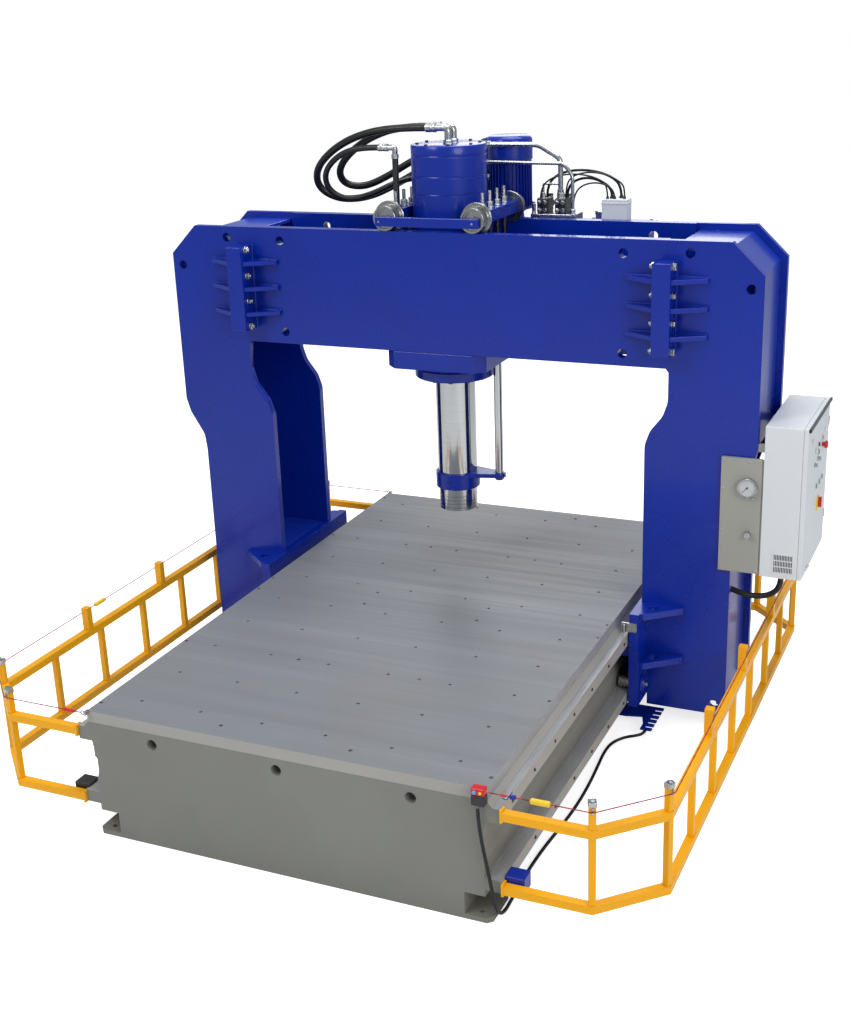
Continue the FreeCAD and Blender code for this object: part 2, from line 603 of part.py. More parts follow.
# ---------------------------------------------------------------- portal legs
leg_outline = [
    ("joint_half", "beam_bottom"), ("inner_edge", "beam_bottom-edge_chamfer"),
    ("inner_edge", "knee_top"), ("leg_inner", "knee_bottom"), ("leg_inner", "shoe_top"),
    ("shoe_inner+shoe_thickness", "shoe_top"), ("shoe_inner+shoe_thickness", "leg_bottom"),
    ("leg_outer", "leg_bottom"), ("leg_outer", "outer_knee_bottom"),
    ("portal_half", "outer_knee_top"), ("portal_half", "portal_top-corner_drop"),
    ("portal_half-corner_run", "portal_top"), ("joint_half", "portal_top"),
]
leg = plate("xz", leg_outline, portal_front, "leg_plate",
            [leg_outline[2], leg_outline[3], leg_outline[8], leg_outline[9]], "knee_break")
leg_holes = [prism(8, "plate_hole_radius", "leg_plate+2", "y", x, portal_front + "-1", z)
             for x, z in (("portal_half-63", "portal_top-222"),
                          ("joint_half+110", "portal_top-60"),
                          ("leg_outer-62", "leg_bottom+56"))]
leg_front_right = node("leg_front_right", cut(leg, leg_holes))
leg_front_left = node("leg_front_left", mirror(leg_front_right, "x"))
node("leg_back_right", mirror(leg_front_right, "y", "portal_y"))
node("leg_back_left", mirror(leg_front_left, "y", "portal_y"))

# webs that close the outer side of each leg, and a shelf between the plates
inner_face = "(%s+leg_plate)" % portal_front
between = "portal_depth-2*leg_plate"
t = "web_inset+web_thickness"
web_outline = [
    ("leg_outer-web_inset", "leg_bottom+web_foot"), ("leg_outer-web_inset", "outer_knee_bottom+10"),
    ("portal_half-web_inset", "outer_knee_top+10"),
    ("portal_half-web_inset", "portal_top-corner_drop-15"),
    ("portal_half-corner_run-15", "portal_top-web_inset"),
    ("joint_half+15", "portal_top-web_inset"), ("joint_half+15", "portal_top-(%s)" % t),
    ("portal_half-corner_run-23", "portal_top-(%s)" % t),
    ("portal_half-(%s)" % t, "portal_top-corner_drop-23"),
    ("portal_half-(%s)" % t, "outer_knee_top+16"),
    ("leg_outer-(%s)" % t, "outer_knee_bottom+16"), ("leg_outer-(%s)" % t, "leg_bottom+web_foot"),
]
web = plate("xz", web_outline, inner_face, between)
shelf = box("shoe_inner+shoe_thickness", "leg_outer-(%s)" % t, inner_face,
            "%s+%s" % (inner_face, between), "shoe_top-shelf_thickness", "shoe_top")
node("leg_webs", group([web, shelf, mirror(web, "x"), mirror(shelf, "x")]))

# ---------------------------------------------------------------- shoes
shoe_front = "(portal_y-shoe_half_length)"
shoe_face = "(shoe_inner+shoe_thickness)"
side_plate = box("shoe_inner", shoe_face, shoe_front, "portal_y+shoe_half_length",
                 "shoe_bottom", "shoe_top")
quarter = []
for top in ("shoe_top", "lower_gusset_top"):
    blank = plate("xy", [(shoe_face, portal_front + "-gusset_run"),
                         (shoe_face + "+20", portal_front + "-gusset_run"),
                         (shoe_face + "+gusset_reach", portal_front + "-20"),
                         (shoe_face + "+gusset_reach", portal_front), (shoe_face, portal_front)],
                  top + "-gusset_thickness", "gusset_thickness")
    quarter.append(cut(blank, [prism(8, "gusset_hole_radius", "gusset_thickness+2", "z",
                                     shoe_face + "+48", portal_front + "-70",
                                     top + "-gusset_thickness-1")]))
claw_top = "(upper_way_top-upper_way_depth-claw_clearance)"
quarter.append(box("wall_half+claw_gap", "shoe_inner", shoe_front + "+claw_inset",
                   shoe_front + "+claw_inset+claw_length", claw_top + "-claw_height", claw_top))
axle_y = shoe_front + "+wheel_inset"
axle_z = "lower_way_top+wheel_radius"
quarter.append(prism(8, "bearing_radius", "bearing_height", "x", shoe_face, axle_y, axle_z))
quarter.append(prism(6, "bearing_bolt_radius", "bearing_bolt_height", "x",
                     shoe_face + "+bearing_height", axle_y, axle_z))
right_shoe = [side_plate] + quarter + [mirror(item, "y", "portal_y") for item in quarter]
node("shoes", group(right_shoe + [mirror(item, "x") for item in right_shoe]))

wheel = fuse([
    prism(16, "wheel_radius", "wheel_width", "x", "way_half-wheel_width", axle_y, axle_z),
    prism(8, "stub_radius", "shoe_inner-wheel_gap-way_half", "x", "way_half", axle_y, axle_z)])
front_wheels = node("front_wheels", group([wheel, mirror(wheel, "x")]))
node("back_wheels", mirror(front_wheels, "y", "portal_y"))

# travel sensor over the cam pads
sensor_low = "upper_way_top+cam_thickness+sensor_gap"
sensor_x = "way_half-cam_width/2"
node("travel_sensor", group([
    box(sensor_x + "-16", sensor_x + "+sensor_plate_width-16", shoe_front + "-sensor_plate",
        shoe_front, sensor_low, sensor_low + "+sensor_height"),
    prism(8, "sensor_radius", "sensor_height", "z", sensor_x,
          shoe_front + "-sensor_plate-sensor_radius", sensor_low)]))

# ---------------------------------------------------------------- splice flanges and bolts
flange_front = portal_front + "-flange_proud"
flange_low = "flange_top-flange_height"
flanges = [box("joint_half", "joint_half+flange_width", flange_front, portal_front, flange_low,
               "flange_top"),
           box("joint_half-flange_width", "joint_half", flange_front, portal_front, flange_low,
               "flange_top")]
bolts = []
count = int(size("splice_bolts"))
spacing = "(flange_height-2*splice_bolt_margin)/(splice_bolts-1)"
for i in range(count):
    bolt_z = "%s+splice_bolt_margin+%s*%d" % (flange_low, spacing, i)
    bolt_y = portal_front + "-bolt_offset"
    bolts.append(prism(6, "bolt_radius", "bolt_head_height", "x", "joint_half+flange_width",
                       bolt_y, bolt_z))
    bolts.append(prism(6, "bolt_radius", "bolt_head_height", "-x", "joint_half-flange_width",
                       bolt_y, bolt_z))
    if i < count - 1:
        rib_z = "%s+%s/2-splice_rib_thickness/2" % (bolt_z, spacing)
        for side in ("+", "-"):
            root = "joint_half%sflange_width" % side
            tip = "%s%ssplice_rib_reach" % (root, side)
            outline = [(root, portal_front), (root, portal_front + "-splice_rib_root"),
                       (tip, portal_front + "-splice_rib_tip"), (tip, portal_front)]
            if side == "-":
                outline.reverse()
            flanges.append(plate("xy", outline, rib_z, "splice_rib_thickness"))
for name, items in (("splice_flanges", flanges), ("splice_bolts", bolts)):
    right = items + [mirror(item, "y", "portal_y") for item in items]
    node(name, group(right + [mirror(item, "x") for item in right]))

# ---------------------------------------------------------------- hydraulic panel and gauge
panel_front = "(%s-panel_depth)" % portal_front
tray = cut(box("panel_inner", "panel_outer", panel_front, portal_front, "panel_bottom",
               "panel_top"),
           [box("panel_inner+sheet", "panel_outer-sheet", panel_front + "+sheet",
                portal_front + "+1", "panel_bottom+sheet", "panel_top-sheet")])
node("hydraulic_panel", tray)
case = prism(18, "gauge_radius", "gauge_depth", "-y", "gauge_x", panel_front, "gauge_z")
node("gauge_case", cut(case, [prism(18, "gauge_radius-gauge_rim", "gauge_recess+1", "-y", "gauge_x",
                                    panel_front + "-gauge_depth+gauge_recess", "gauge_z")]))
dial = panel_front + "-gauge_depth+gauge_recess-pointer_gap-pointer_thickness"
node("gauge_pointer", plate("xz", [
    ("gauge_x-pointer_width/2", "gauge_z-pointer_width/2"),
    ("gauge_x+pointer_width/2", "gauge_z-pointer_width/2"),
    ("gauge_x-pointer_length*0.68", "gauge_z-pointer_length*0.7"),
    ("gauge_x-pointer_width", "gauge_z")], dial, "pointer_thickness"))
node("pressure_knob", prism(12, "knob_radius", "knob_length", "-y", "knob_x",
                            panel_front + "-knob_gap", "knob_z"))

# ---------------------------------------------------------------- control cabinet
shell_outer = "(cabinet_inner+cabinet_depth)"
shell = cut(box("cabinet_inner", shell_outer, "cabinet_front", "cabinet_back",
                "cabinet_bottom", "cabinet_top"),
            [box("cabinet_inner+sheet", shell_outer + "+1", "cabinet_front+sheet",
                 "cabinet_back-sheet", "cabinet_bottom+sheet", "cabinet_top-sheet")])
brackets = []
for low, inner in (("upper_bracket", "portal_half"), ("lower_bracket", "leg_outer")):
    for start in (portal_front + "+5", portal_back + "-5-bracket_width"):
        brackets.append(box(inner, "cabinet_inner", start, start + "+bracket_width", low,
                            low + "+bracket_height"))
mounting = box("cabinet_inner+sheet", "cabinet_inner+sheet+mounting_offset",
               "cabinet_front+mounting_margin", "cabinet_back-mounting_margin",
               "cabinet_bottom+mounting_margin", "cabinet_top-mounting_margin")
node("cabinet_shell", group([shell, mounting] + brackets))

door_back = shell_outer + "+door_gap"
door_face = "(%s+door_gap+door_thickness)" % shell_outer
leaf = box(door_back, door_face, "cabinet_front", "cabinet_back", "cabinet_bottom",
           "cabinet_top")
buttons = {"button_white": (582, 1531), "button_green_upper": (655, 1505),
           "button_green_back": (806, 1327), "button_green_middle": (728, 1324),
           "button_green_front": (641, 1327)}
pockets = [prism(8, "button_radius+button_play", "button_pocket+1", "-x", door_face + "+1",
                 str(y), str(z)) for y, z in buttons.values()]
emergency = (784, 1507)
pockets.append(prism(8, "mushroom_stem+button_play", "button_pocket+1", "-x",
                     door_face + "+1", *map(str, emergency)))
lamps = [prism(6, "lamp_radius", "lamp_length", "x", door_face, str(y), str(z))
         for y, z in ((842, 1570), (769, 1549), (474, 1608), (653, 1545))]
main_y, main_z = 727, 1210
main_plate = box(door_face, door_face + "+main_plate_thickness", "%d-main_plate/2" % main_y,
                 "%d+main_plate/2" % main_y, "%d-main_plate/2" % main_z,
                 "%d+main_plate/2" % main_z)
strip = box(door_face, door_face + "+rain_strip", "cabinet_front", "cabinet_back",
            "cabinet_top-rain_strip", "cabinet_top")
node("cabinet_door", group([cut(leaf, pockets), main_plate, strip] + lamps))
for name, (y, z) in buttons.items():
    node(name, prism(8, "button_radius", "button_length", "x",
                     door_face + "-button_pocket+button_rest+button_play", str(y), str(z)))
stem_start = door_face + "-button_pocket+button_rest+button_play"
node("emergency_stop", fuse([
    prism(8, "mushroom_stem", "mushroom_stem_length", "x", stem_start,
          *map(str, emergency)),
    prism(12, "mushroom_radius", "mushroom_height", "x", stem_start + "+mushroom_stem_length",
          *map(str, emergency))]))
for name, y, z in (("key_switch_back", 660, 1468), ("key_switch_front", 568, 1459)):
    node(name, prism(8, "key_radius", "key_length", "x", door_face + "+turn_gap", str(y),
                     str(z)))
handle_low = door_face + "+main_plate_thickness+turn_gap"
node("main_switch", fuse([
    prism(8, "handle_radius", "handle_length/2", "x", handle_low, str(main_y), str(main_z)),
    box(handle_low, handle_low + "+handle_length", "%d-7" % main_y, "%d+7" % main_y,
        "%d-handle_radius+2" % main_z, "%d+handle_radius+8" % main_z)]))
node("door_lock", box(door_face + "+turn_gap", door_face + "+turn_gap+lock_thickness",
                      "lock_y-lock_width/2", "lock_y+lock_length", "lock_z-lock_width/2",
                      "lock_z+lock_width/2"))
cable_start = (size("cabinet_inner+96"), size("cabinet_front+cable_inset"), size("cabinet_bottom"))
cable_end = (size("leg_outer-web_inset"), cable_start[1] + 28, size("cable_entry"))
node("cabinet_cable", swept("cabinet_cable", draped(
    cable_start, cable_end, cable_start[0] - cable_end[0], size("cable_sag"),
    [(0.000, 0.036, 0.358), (0.078, 0.214, 0.698), (0.265, 0.464, 0.925),
     (0.512, 0.714, 1.000), (0.763, 0.893, 0.950)]),
    size("cabinet_cable_radius"), 6))

# ---------------------------------------------------------------- power pack
tank_front = "(%s+tank_gap)" % portal_back
lid_top = "(tank_top+lid_thickness)"
tank = [box("tank_left", "tank_right", tank_front, tank_front + "+tank_depth", "tank_bottom",
            "tank_top"),
        box("tank_left-lid_edge", "tank_right+lid_edge", tank_front + "-lid_edge",
            tank_front + "+tank_depth+lid_edge", "tank_top", lid_top)]
for start in ("tank_left+120", "tank_right-120-tank_rail_width"):
    tank.append(box(start, start + "+tank_rail_width", portal_back, tank_front,
                    "beam_bottom+40", "tank_top-40"))
node("oil_tank", group(tank))
node("pump_bell", prism(20, "bell_radius", "bell_height", "z", "motor_x", "motor_y", lid_top))
motor_low = lid_top + "+bell_height"
fins = []
step = 360 / size("fin_count")
for i in range(int(size("fin_count"))):
    for radius, angle in (("motor_radius", 0.28), ("motor_radius", 0.72),
                          ("(motor_radius-fin_depth)", 0.78), ("(motor_radius-fin_depth)", 1.22)):
        turn = math.radians(step * (i + angle))
        fins.append(("motor_x+%s*%.5f" % (radius, math.cos(turn)),
                     "motor_y+%s*%.5f" % (radius, math.sin(turn))))
frame = plate("xy", fins, motor_low, "motor_length")
cowl = prism(24, "cowl_radius", "cowl_height", "z", "motor_x", "motor_y", motor_low + "+motor_length")
terminal = box("motor_x-motor_radius-terminal_width", "motor_x-motor_radius+8",
               "motor_y-terminal_depth/2", "motor_y+terminal_depth/2", motor_low + "+60",
               motor_low + "+60+terminal_height")
node("motor", group([fuse([frame, terminal]), cowl]))

manifold_top = "(%s+manifold_height)" % lid_top
valve_top = "(%s+valve_height)" % manifold_top
valves = [box("manifold_left", "manifold_right", "manifold_front", "manifold_back", lid_top,
              manifold_top)]
for start in ("first_valve", "second_valve"):
    valves.append(box(start, start + "+valve_width", "valve_front",
                      "valve_front+valve_depth", manifold_top, valve_top))
    valves.append(prism(8, "coil_radius", "coil_length", "y", start + "+valve_width/2",
                        "valve_front+valve_depth", manifold_top + "+valve_height/2"))
node("valve_block", group(valves))

bulkhead = box("bulkhead_x", "bulkhead_x+bulkhead_thickness", "manifold_front",
               "manifold_front+bulkhead_width", lid_top, "bulkhead_top")
pipe_start = size("bulkhead_x+bulkhead_thickness")
p_y, p_z, p_x = size("pressure_y"), size("pressure_z"), size("pressure_x")
r_y, r_z, r_x = size("return_y"), size("return_z"), size("return_x")
pressure_pipe = swept("pressure_pipe", [
    (pipe_start, p_y, p_z), (p_x - 127, p_y, p_z), (p_x, p_y, p_z - 73),
    (p_x, p_y, size(valve_top))], size("pressure_radius"), 6, size("pipe_bend"))
return_pipe = swept("return_pipe", [
    (pipe_start, r_y, r_z), (r_x - 52, r_y, r_z - 4), (r_x, r_y, r_z - 65),
    (r_x, r_y, size(manifold_top))], size("return_radius"), 6, size("pipe_bend"))
node("rigid_pipes", group([bulkhead, pressure_pipe, return_pipe]))

junction_top = "(%s+junction_height)" % lid_top
node("junction_box", box("junction_x", "junction_x+junction_width", "junction_y",
                         "junction_y+junction_depth", lid_top, junction_top))
v_z, j_z = size(valve_top), size(junction_top)
first_x, second_x = size("first_valve+valve_width/2"), size("second_valve+valve_width/2+16")
box_x = size("junction_x")
short_cable = swept("short_cable", [
    (second_x, 1116, v_z), (second_x + 2, 1116, v_z + 48), (second_x + 46, 1111, v_z + 92),
    (second_x + 120, 1105, v_z + 108), (second_x + 196, 1102, v_z + 90),
    (box_x + 44, 1099, v_z + 50), (box_x + 45, 1098, j_z)], size("control_cable_radius"), 4)
long_cable = swept("long_cable", [
    (first_x, 1122, v_z), (first_x + 2, 1122, v_z + 62), (first_x + 60, 1124, v_z + 122),
    (first_x + 168, 1126, v_z + 146), (first_x + 285, 1126, v_z + 138),
    (box_x + 48, 1124, v_z + 104), (box_x + 89, 1121, v_z + 54), (box_x + 90, 1120, j_z)],
    size("control_cable_radius"), 4)
node("control_cables", group([short_cable, long_cable]))

# ---------------------------------------------------------------- carriage frame and rollers
bar_back = "(%s-bar_clearance)" % portal_front
tread_end = "(%s+beam_plate+flange_clearance)" % portal_front
roller_start = "(%s+side_gap)" % bar_back
arm_start = "(%s+roller_flange+side_gap)" % tread_end
roller_z = "portal_top+roller_radius"
left_x = "carriage_x-roller_offset"
right_x = "carriage_x+roller_offset"
front_bar = box("carriage_x-bar_half", "carriage_x+bar_half", bar_back + "-bar_thickness",
                bar_back, "bar_bottom", "bar_bottom+bar_height")
frame_items = [front_bar, mirror(front_bar, "y", "portal_y")]
for x in (left_x, right_x):
    frame_items.append(box(x + "-arm_width/2", x + "+arm_width/2", arm_start,
                           "2*portal_y-" + arm_start, "arm_bottom", "arm_bottom+arm_height"))
    pin = prism(10, "pin_radius", "%s-%s" % (arm_start, bar_back), "y", x, bar_back, roller_z)
    frame_items += [pin, mirror(pin, "y", "portal_y")]
node("carriage_frame", group(frame_items))
for name, x in (("rollers_left", left_x), ("rollers_right", right_x)):
    tread = prism(16, "roller_radius", "%s-%s" % (tread_end, roller_start), "y", x, roller_start,
                  roller_z)
    flange = prism(16, "roller_flange_radius", "roller_flange", "y", x, tread_end, roller_z)
    roller = cut(fuse([tread, flange]), [
        prism(10, across_flats("pin_radius+running_fit", 10), "portal_depth/2", "y", x, bar_back,
              roller_z)])
    node(name, group([roller, mirror(roller, "y", "portal_y")]))

# ---------------------------------------------------------------- thrust block, studs, barrel
block_top = "(beam_bottom-block_clearance)"
block_low = "(%s-block_height)" % block_top
arm_top = "(arm_bottom+arm_height)"
studs = []
for x in (left_x, right_x):
    for i in (-1.5, -0.5, 0.5, 1.5):
        y = "portal_y+stud_pitch*(%s)" % i
        studs.append(prism(6, "sleeve_radius", "arm_bottom-%s" % block_top, "z", x, y,
                           block_top))
        studs.append(prism(6, "nut_radius", "nut_height", "z", x, y, arm_top))
        studs.append(prism(6, "stud_radius", "stud_end", "z", x, y, arm_top + "+nut_height"))
node("suspension_studs", group(studs))
block_left, block_right = "carriage_x-block_half", "carriage_x+block_half"
blank = plate("xy", [
    (block_left + "+block_chamfer", portal_front), (block_right + "-block_chamfer", portal_front),
    (block_right, portal_front + "+block_chamfer"), (block_right, portal_back + "-block_chamfer"),
    (block_right + "-block_chamfer", portal_back), (block_left + "+block_chamfer", portal_back),
    (block_left, portal_back + "-block_chamfer"), (block_left, portal_front + "+block_chamfer")],
    block_low, "block_height")
gland = prism(16, "gland_radius", "gland_height", "z", "carriage_x", "portal_y",
              block_low + "-gland_height")
node("thrust_block", cut(fuse([blank, gland]), [
    prism(20, across_flats("ram_radius+running_fit", 20), "block_height+gland_height+2", "z",
          "carriage_x", "portal_y", block_low + "-gland_height-1"),
    prism(12, across_flats("guide_radius+running_fit", 12), "block_height+2", "z", "guide_x",
          "portal_y", block_low + "-1")]))
node("cylinder_barrel", cut(
    prism(32, "barrel_radius", "barrel_top-%s" % block_top, "z", "carriage_x", "portal_y", block_top),
    [prism(16, across_flats("barrel_bore", 16), "barrel_top-barrel_end-%s+1" % block_top, "z",
           "carriage_x", "portal_y", block_top + "-1")]))

# ---------------------------------------------------------------- hose fittings and hoses
port_x, port_z, cap_z = size("port_x"), size("port_z"), size("barrel_top")
middle_y = size("portal_y")
fittings = []
for side in (-0.5, 0.5):
    y = middle_y + side * size("port_spacing")
    fittings.append(swept("cap_elbow", [(port_x, y, cap_z), (port_x, y, port_z),
                                        (port_x - size("port_reach"), y, port_z)],
                          size("port_radius"), 6, size("port_bend")))
    fittings.append(prism(6, "ferrule_radius", "ferrule_length", "-x", "port_x-port_reach",
                          "portal_y+(%s)*port_spacing" % side, "port_z"))
side_x0, side_y0, side_z0 = size("side_port_x"), size("side_port_y"), size("side_port_z")
fittings.append(swept("side_pipe", [
    (side_x0, side_y0, size(arm_top)), (side_x0, side_y0, side_z0),
    (side_x0 - size("side_pipe_reach"), side_y0, side_z0)], size("side_pipe_radius"), 6,
    size("side_pipe_bend")))
fittings.append(prism(6, "side_ferrule_radius", "side_ferrule_length", "-x",
                      "side_port_x-side_pipe_reach", "side_port_y", "side_port_z"))
node("hose_fittings", group(fittings))
hose_x = port_x - size("port_reach+ferrule_length")
wall_x = size("bulkhead_x-hose_gap")
lead = size("hose_lead")


def hose(name, start, end, radius, shares):
    """Hose that loops to the left and comes back straight into the bulkhead."""
    route = draped(start, end, size(name + "_reach"), size(name + "_drop"), shares)
    route.insert(-1, (end[0] - lead, end[1], end[2]))
    return swept(name, route, size(radius), 6)


first_hose = hose(
    "first_hose", (hose_x, middle_y - size("port_spacing/2"), port_z), (wall_x, r_y, r_z),
    "cap_hose_radius",
    [(0.287, 0.000, 0.000), (0.593, 0.039, 0.115), (0.828, 0.118, 0.324),
     (0.986, 0.223, 0.582), (1.000, 0.341, 0.840), (0.855, 0.472, 1.000),
     (0.634, 0.604, 0.975), (0.428, 0.735, 0.803), (0.234, 0.866, 0.607)])
second_hose = hose(
    "second_hose", (hose_x, middle_y + size("port_spacing/2"), port_z), (wall_x, p_y, p_z),
    "cap_hose_radius",
    [(0.299, 0.000, 0.000), (0.615, 0.029, 0.167), (0.864, 0.088, 0.444),
     (1.000, 0.191, 0.722), (0.977, 0.332, 0.944), (0.814, 0.485, 1.000),
     (0.615, 0.647, 0.839), (0.432, 0.794, 0.635), (0.233, 0.912, 0.459)])
node("cap_hoses", group([first_hose, second_hose]))
side_hose_x = size("side_port_x-side_pipe_reach-side_ferrule_length")
node("side_hose", hose(
    "side_hose", (side_hose_x, side_y0, side_z0), (wall_x, size("third_y"), size("third_z")),
    "side_hose_radius",
    [(0.372, 0.000, 0.000), (0.746, 0.017, 0.169), (1.000, 0.054, 0.475),
     (0.991, 0.141, 0.807), (0.732, 0.250, 1.000), (0.401, 0.402, 0.908),
     (0.084, 0.587, 0.712), (-0.262, 0.804, 0.634)]))

# ---------------------------------------------------------------- ram
node("ram_rod", fuse([
    prism(24, "nose_radius", "nose_top-nose_bottom", "z", "carriage_x", "portal_y", "nose_bottom"),
    prism(32, "ram_radius", "ram_top-nose_top", "z", "carriage_x", "portal_y", "nose_top")]))
arm_low = "guide_arm_bottom"
guide_arm = plate("xy", [
    ("carriage_x", "portal_y-collar_radius*0.7"),
    ("guide_x-guide_arm_half/2", "portal_y-guide_arm_half"),
    ("guide_x+guide_arm_half/2", "portal_y-guide_arm_half"),
    ("guide_x+guide_arm_half", "portal_y-guide_arm_half/2"),
    ("guide_x+guide_arm_half", "portal_y+guide_arm_half/2"),
    ("guide_x+guide_arm_half/2", "portal_y+guide_arm_half"),
    ("guide_x-guide_arm_half/2", "portal_y+guide_arm_half"),
    ("carriage_x", "portal_y+collar_radius*0.7")], arm_low, "guide_arm_thickness")
ring = prism(20, "collar_radius", "collar_top-nose_top", "z", "carriage_x", "portal_y", "nose_top")
node("ram_collar", cut(fuse([ring, guide_arm]), [
    prism(20, across_flats("ram_radius+collar_fit", 20), "collar_top-nose_top+40", "z",
          "carriage_x", "portal_y", "nose_top-10")]))
node("guide_rod", prism(12, "guide_radius", "guide_top-guide_arm_bottom-guide_arm_thickness", "z",
                      "guide_x", "portal_y", arm_low + "+guide_arm_thickness"))

# ---------------------------------------------------------------- checks and export
doc.recompute()
for item in doc.Objects:
    if "Invalid" in item.State or "Error" in item.State:
        raise RuntimeError("%s is not sound: %s" % (item.Label, item.State))
os.makedirs("parts", exist_ok=True)
for item in nodes:
    if item.Shape.isNull() or not item.Shape.isValid():
        raise RuntimeError(item.Label + " has no sound shape")
    item.Shape.exportStep("parts/%s.step" % item.Label)
print("%d nodes, %d solids" % (len(nodes), sum(len(item.Shape.Solids) for item in nodes)))
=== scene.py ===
import math
import bpy
from mathutils import Matrix, Vector


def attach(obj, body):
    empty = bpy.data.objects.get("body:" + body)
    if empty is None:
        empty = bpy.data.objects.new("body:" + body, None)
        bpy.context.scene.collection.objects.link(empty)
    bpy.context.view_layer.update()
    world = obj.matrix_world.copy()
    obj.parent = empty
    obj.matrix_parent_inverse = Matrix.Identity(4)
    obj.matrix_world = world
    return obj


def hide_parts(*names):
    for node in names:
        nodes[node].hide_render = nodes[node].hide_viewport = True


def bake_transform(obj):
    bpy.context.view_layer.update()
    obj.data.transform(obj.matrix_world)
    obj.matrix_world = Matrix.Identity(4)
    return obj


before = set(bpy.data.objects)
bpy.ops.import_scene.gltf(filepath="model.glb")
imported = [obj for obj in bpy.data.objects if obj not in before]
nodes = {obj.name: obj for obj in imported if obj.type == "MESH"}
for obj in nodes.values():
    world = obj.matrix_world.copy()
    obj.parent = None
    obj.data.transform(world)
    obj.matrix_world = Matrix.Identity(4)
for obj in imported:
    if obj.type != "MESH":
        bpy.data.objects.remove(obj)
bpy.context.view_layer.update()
ops = bpy.ops
print("frame loaded:", len(nodes), "nodes")


def added(name, data):
    # a new object of the scene that shows the data
    item = bpy.data.objects.new(name, data)
    bpy.context.scene.collection.objects.link(item)
    return item


# ---- camera
view = {"place": (2.94597, -6.36973, 3.69102), "yaw": 24.67, "pitch": -19.57, "roll": -2.16, "lens": 50.115,
    "sensor": 36.0, "far": 100}
yaw, pitch, roll = (math.radians(view[k]) for k in ("yaw", "pitch", "roll"))
forward = Vector((-math.sin(yaw) * math.cos(pitch), math.cos(yaw) * math.cos(pitch), math.sin(pitch)))
level = Vector((math.cos(yaw), math.sin(yaw), 0))
upright = level.cross(forward)
right = math.cos(roll) * level + math.sin(roll) * upright
above = -math.sin(roll) * level + math.cos(roll) * upright
camera = added("camera", bpy.data.cameras.new("camera"))
camera.data.lens = view["lens"]
camera.data.sensor_width = view["sensor"]
camera.data.clip_end = view["far"]
turn = Matrix((right, above, -forward)).transposed().to_4x4()
turn.translation = Vector(view["place"])
camera.matrix_world = turn
bpy.context.scene.camera = camera
print("camera set")


# ---- finishes
def tint(r, g, b):
    # screen values from 0 to 255, as the render engine wants them
    return tuple(((c / 255 + 0.055) / 1.055) ** 2.4 if c > 10 else c / 3294.6 for c in (r, g, b)) + (1.0,)


def darker(colour, share):
    return tuple(c * share for c in colour[:3]) + (1.0,)


def node(tree, kind, inputs, **values):
    # a new node, whose inputs get constants or the outputs of other nodes
    made = tree.nodes.new(kind)
    for key, value in values.items():
        setattr(made, key, value)
    for key, value in inputs.items():
        if isinstance(value, bpy.types.NodeSocket):
            tree.links.new(value, made.inputs[key])
        else:
            made.inputs[key].default_value = value
    return made


class Finish:
    # a material whose colour, gloss and relief come from patterns on the piece itself
    def __init__(self, name, metal=0.0, coat=0.0, specular=0.5):
        self.material = bpy.data.materials.new(name)
        self.material.use_nodes = True
        self.tree = self.material.node_tree
        self.shader = self.tree.nodes["Principled BSDF"]
        constants = {"Metallic": metal, "Coat Weight": coat, "Coat Roughness": 0.08,
            "Specular IOR Level": specular}
        for key, value in constants.items():
            self.shader.inputs[key].default_value = value
        self.place = node(self.tree, "ShaderNodeTexCoord", {}).outputs["Object"]

    def noise(self, scale, detail=3.0, stretch=None, twist=0.0):
        made = node(self.tree, "ShaderNodeTexNoise",
            {"Scale": scale, "Detail": detail, "Distortion": twist})
        place = self.place
        if stretch:
            place = node(self.tree, "ShaderNodeMapping",
                {"Vector": place, "Scale": stretch}).outputs["Vector"]
        self.tree.links.new(place, made.inputs["Vector"])
        return made.outputs["Fac"]

    def spread(self, source, low, high, fromLow=0.3, fromHigh=0.7):
        limits = {"From Min": fromLow, "From Max": fromHigh, "To Min": low, "To Max": high, "Value": source}
        return node(self.tree, "ShaderNodeMapRange", limits,
            interpolation_type="SMOOTHSTEP").outputs["Result"]

    def ramp(self, source, stops):
        made = node(self.tree, "ShaderNodeValToRGB", {"Fac": source})
        made.color_ramp.interpolation = "EASE"
        for element, stop in zip(made.color_ramp.elements, (stops[0], stops[-1])):
            element.position, element.color = stop
        for position, colour in stops[1:-1]:
            made.color_ramp.elements.new(position).color = colour
        return made.outputs["Color"]

    def mix(self, share, first, second):
        inputs = {0: share, 6: first, 7: second}
        return node(self.tree, "ShaderNodeMix", inputs, data_type="RGBA", blend_type="MIX").outputs[2]

    def skin(self, colour, gloss, relief, strength, distance):
        bump = node(self.tree, "ShaderNodeBump", {"Strength": strength, "Distance": distance,
            "Height": relief})
        sources = {"Base Color": colour, "Roughness": gloss, "Normal": bump.outputs["Normal"]}
        for key, source in sources.items():
            self.tree.links.new(source, self.shader.inputs[key])
        return self.material


def paint(name, colour, rough, coat=0.0, mottle=0.1, peel=0.15, grain=160, specular=0.5):
    made = Finish(name, coat=coat, specular=specular)
    cloud = made.noise(1.7, 4.0, twist=0.4)
    tone = made.ramp(cloud, [(0.32, darker(colour, 1 - mottle)), (0.5, colour),
        (0.68, darker(colour, 1 + mottle))])
    dust = made.spread(made.noise(7.0, 6.0), 0.0, 0.06, 0.4, 0.8)
    return made.skin(made.mix(dust, tone, darker(colour, 0.72)),
        made.spread(made.noise(4.5, 5.0), rough * 0.9, rough * 1.12), made.noise(grain, 2.0), peel, 0.0006)


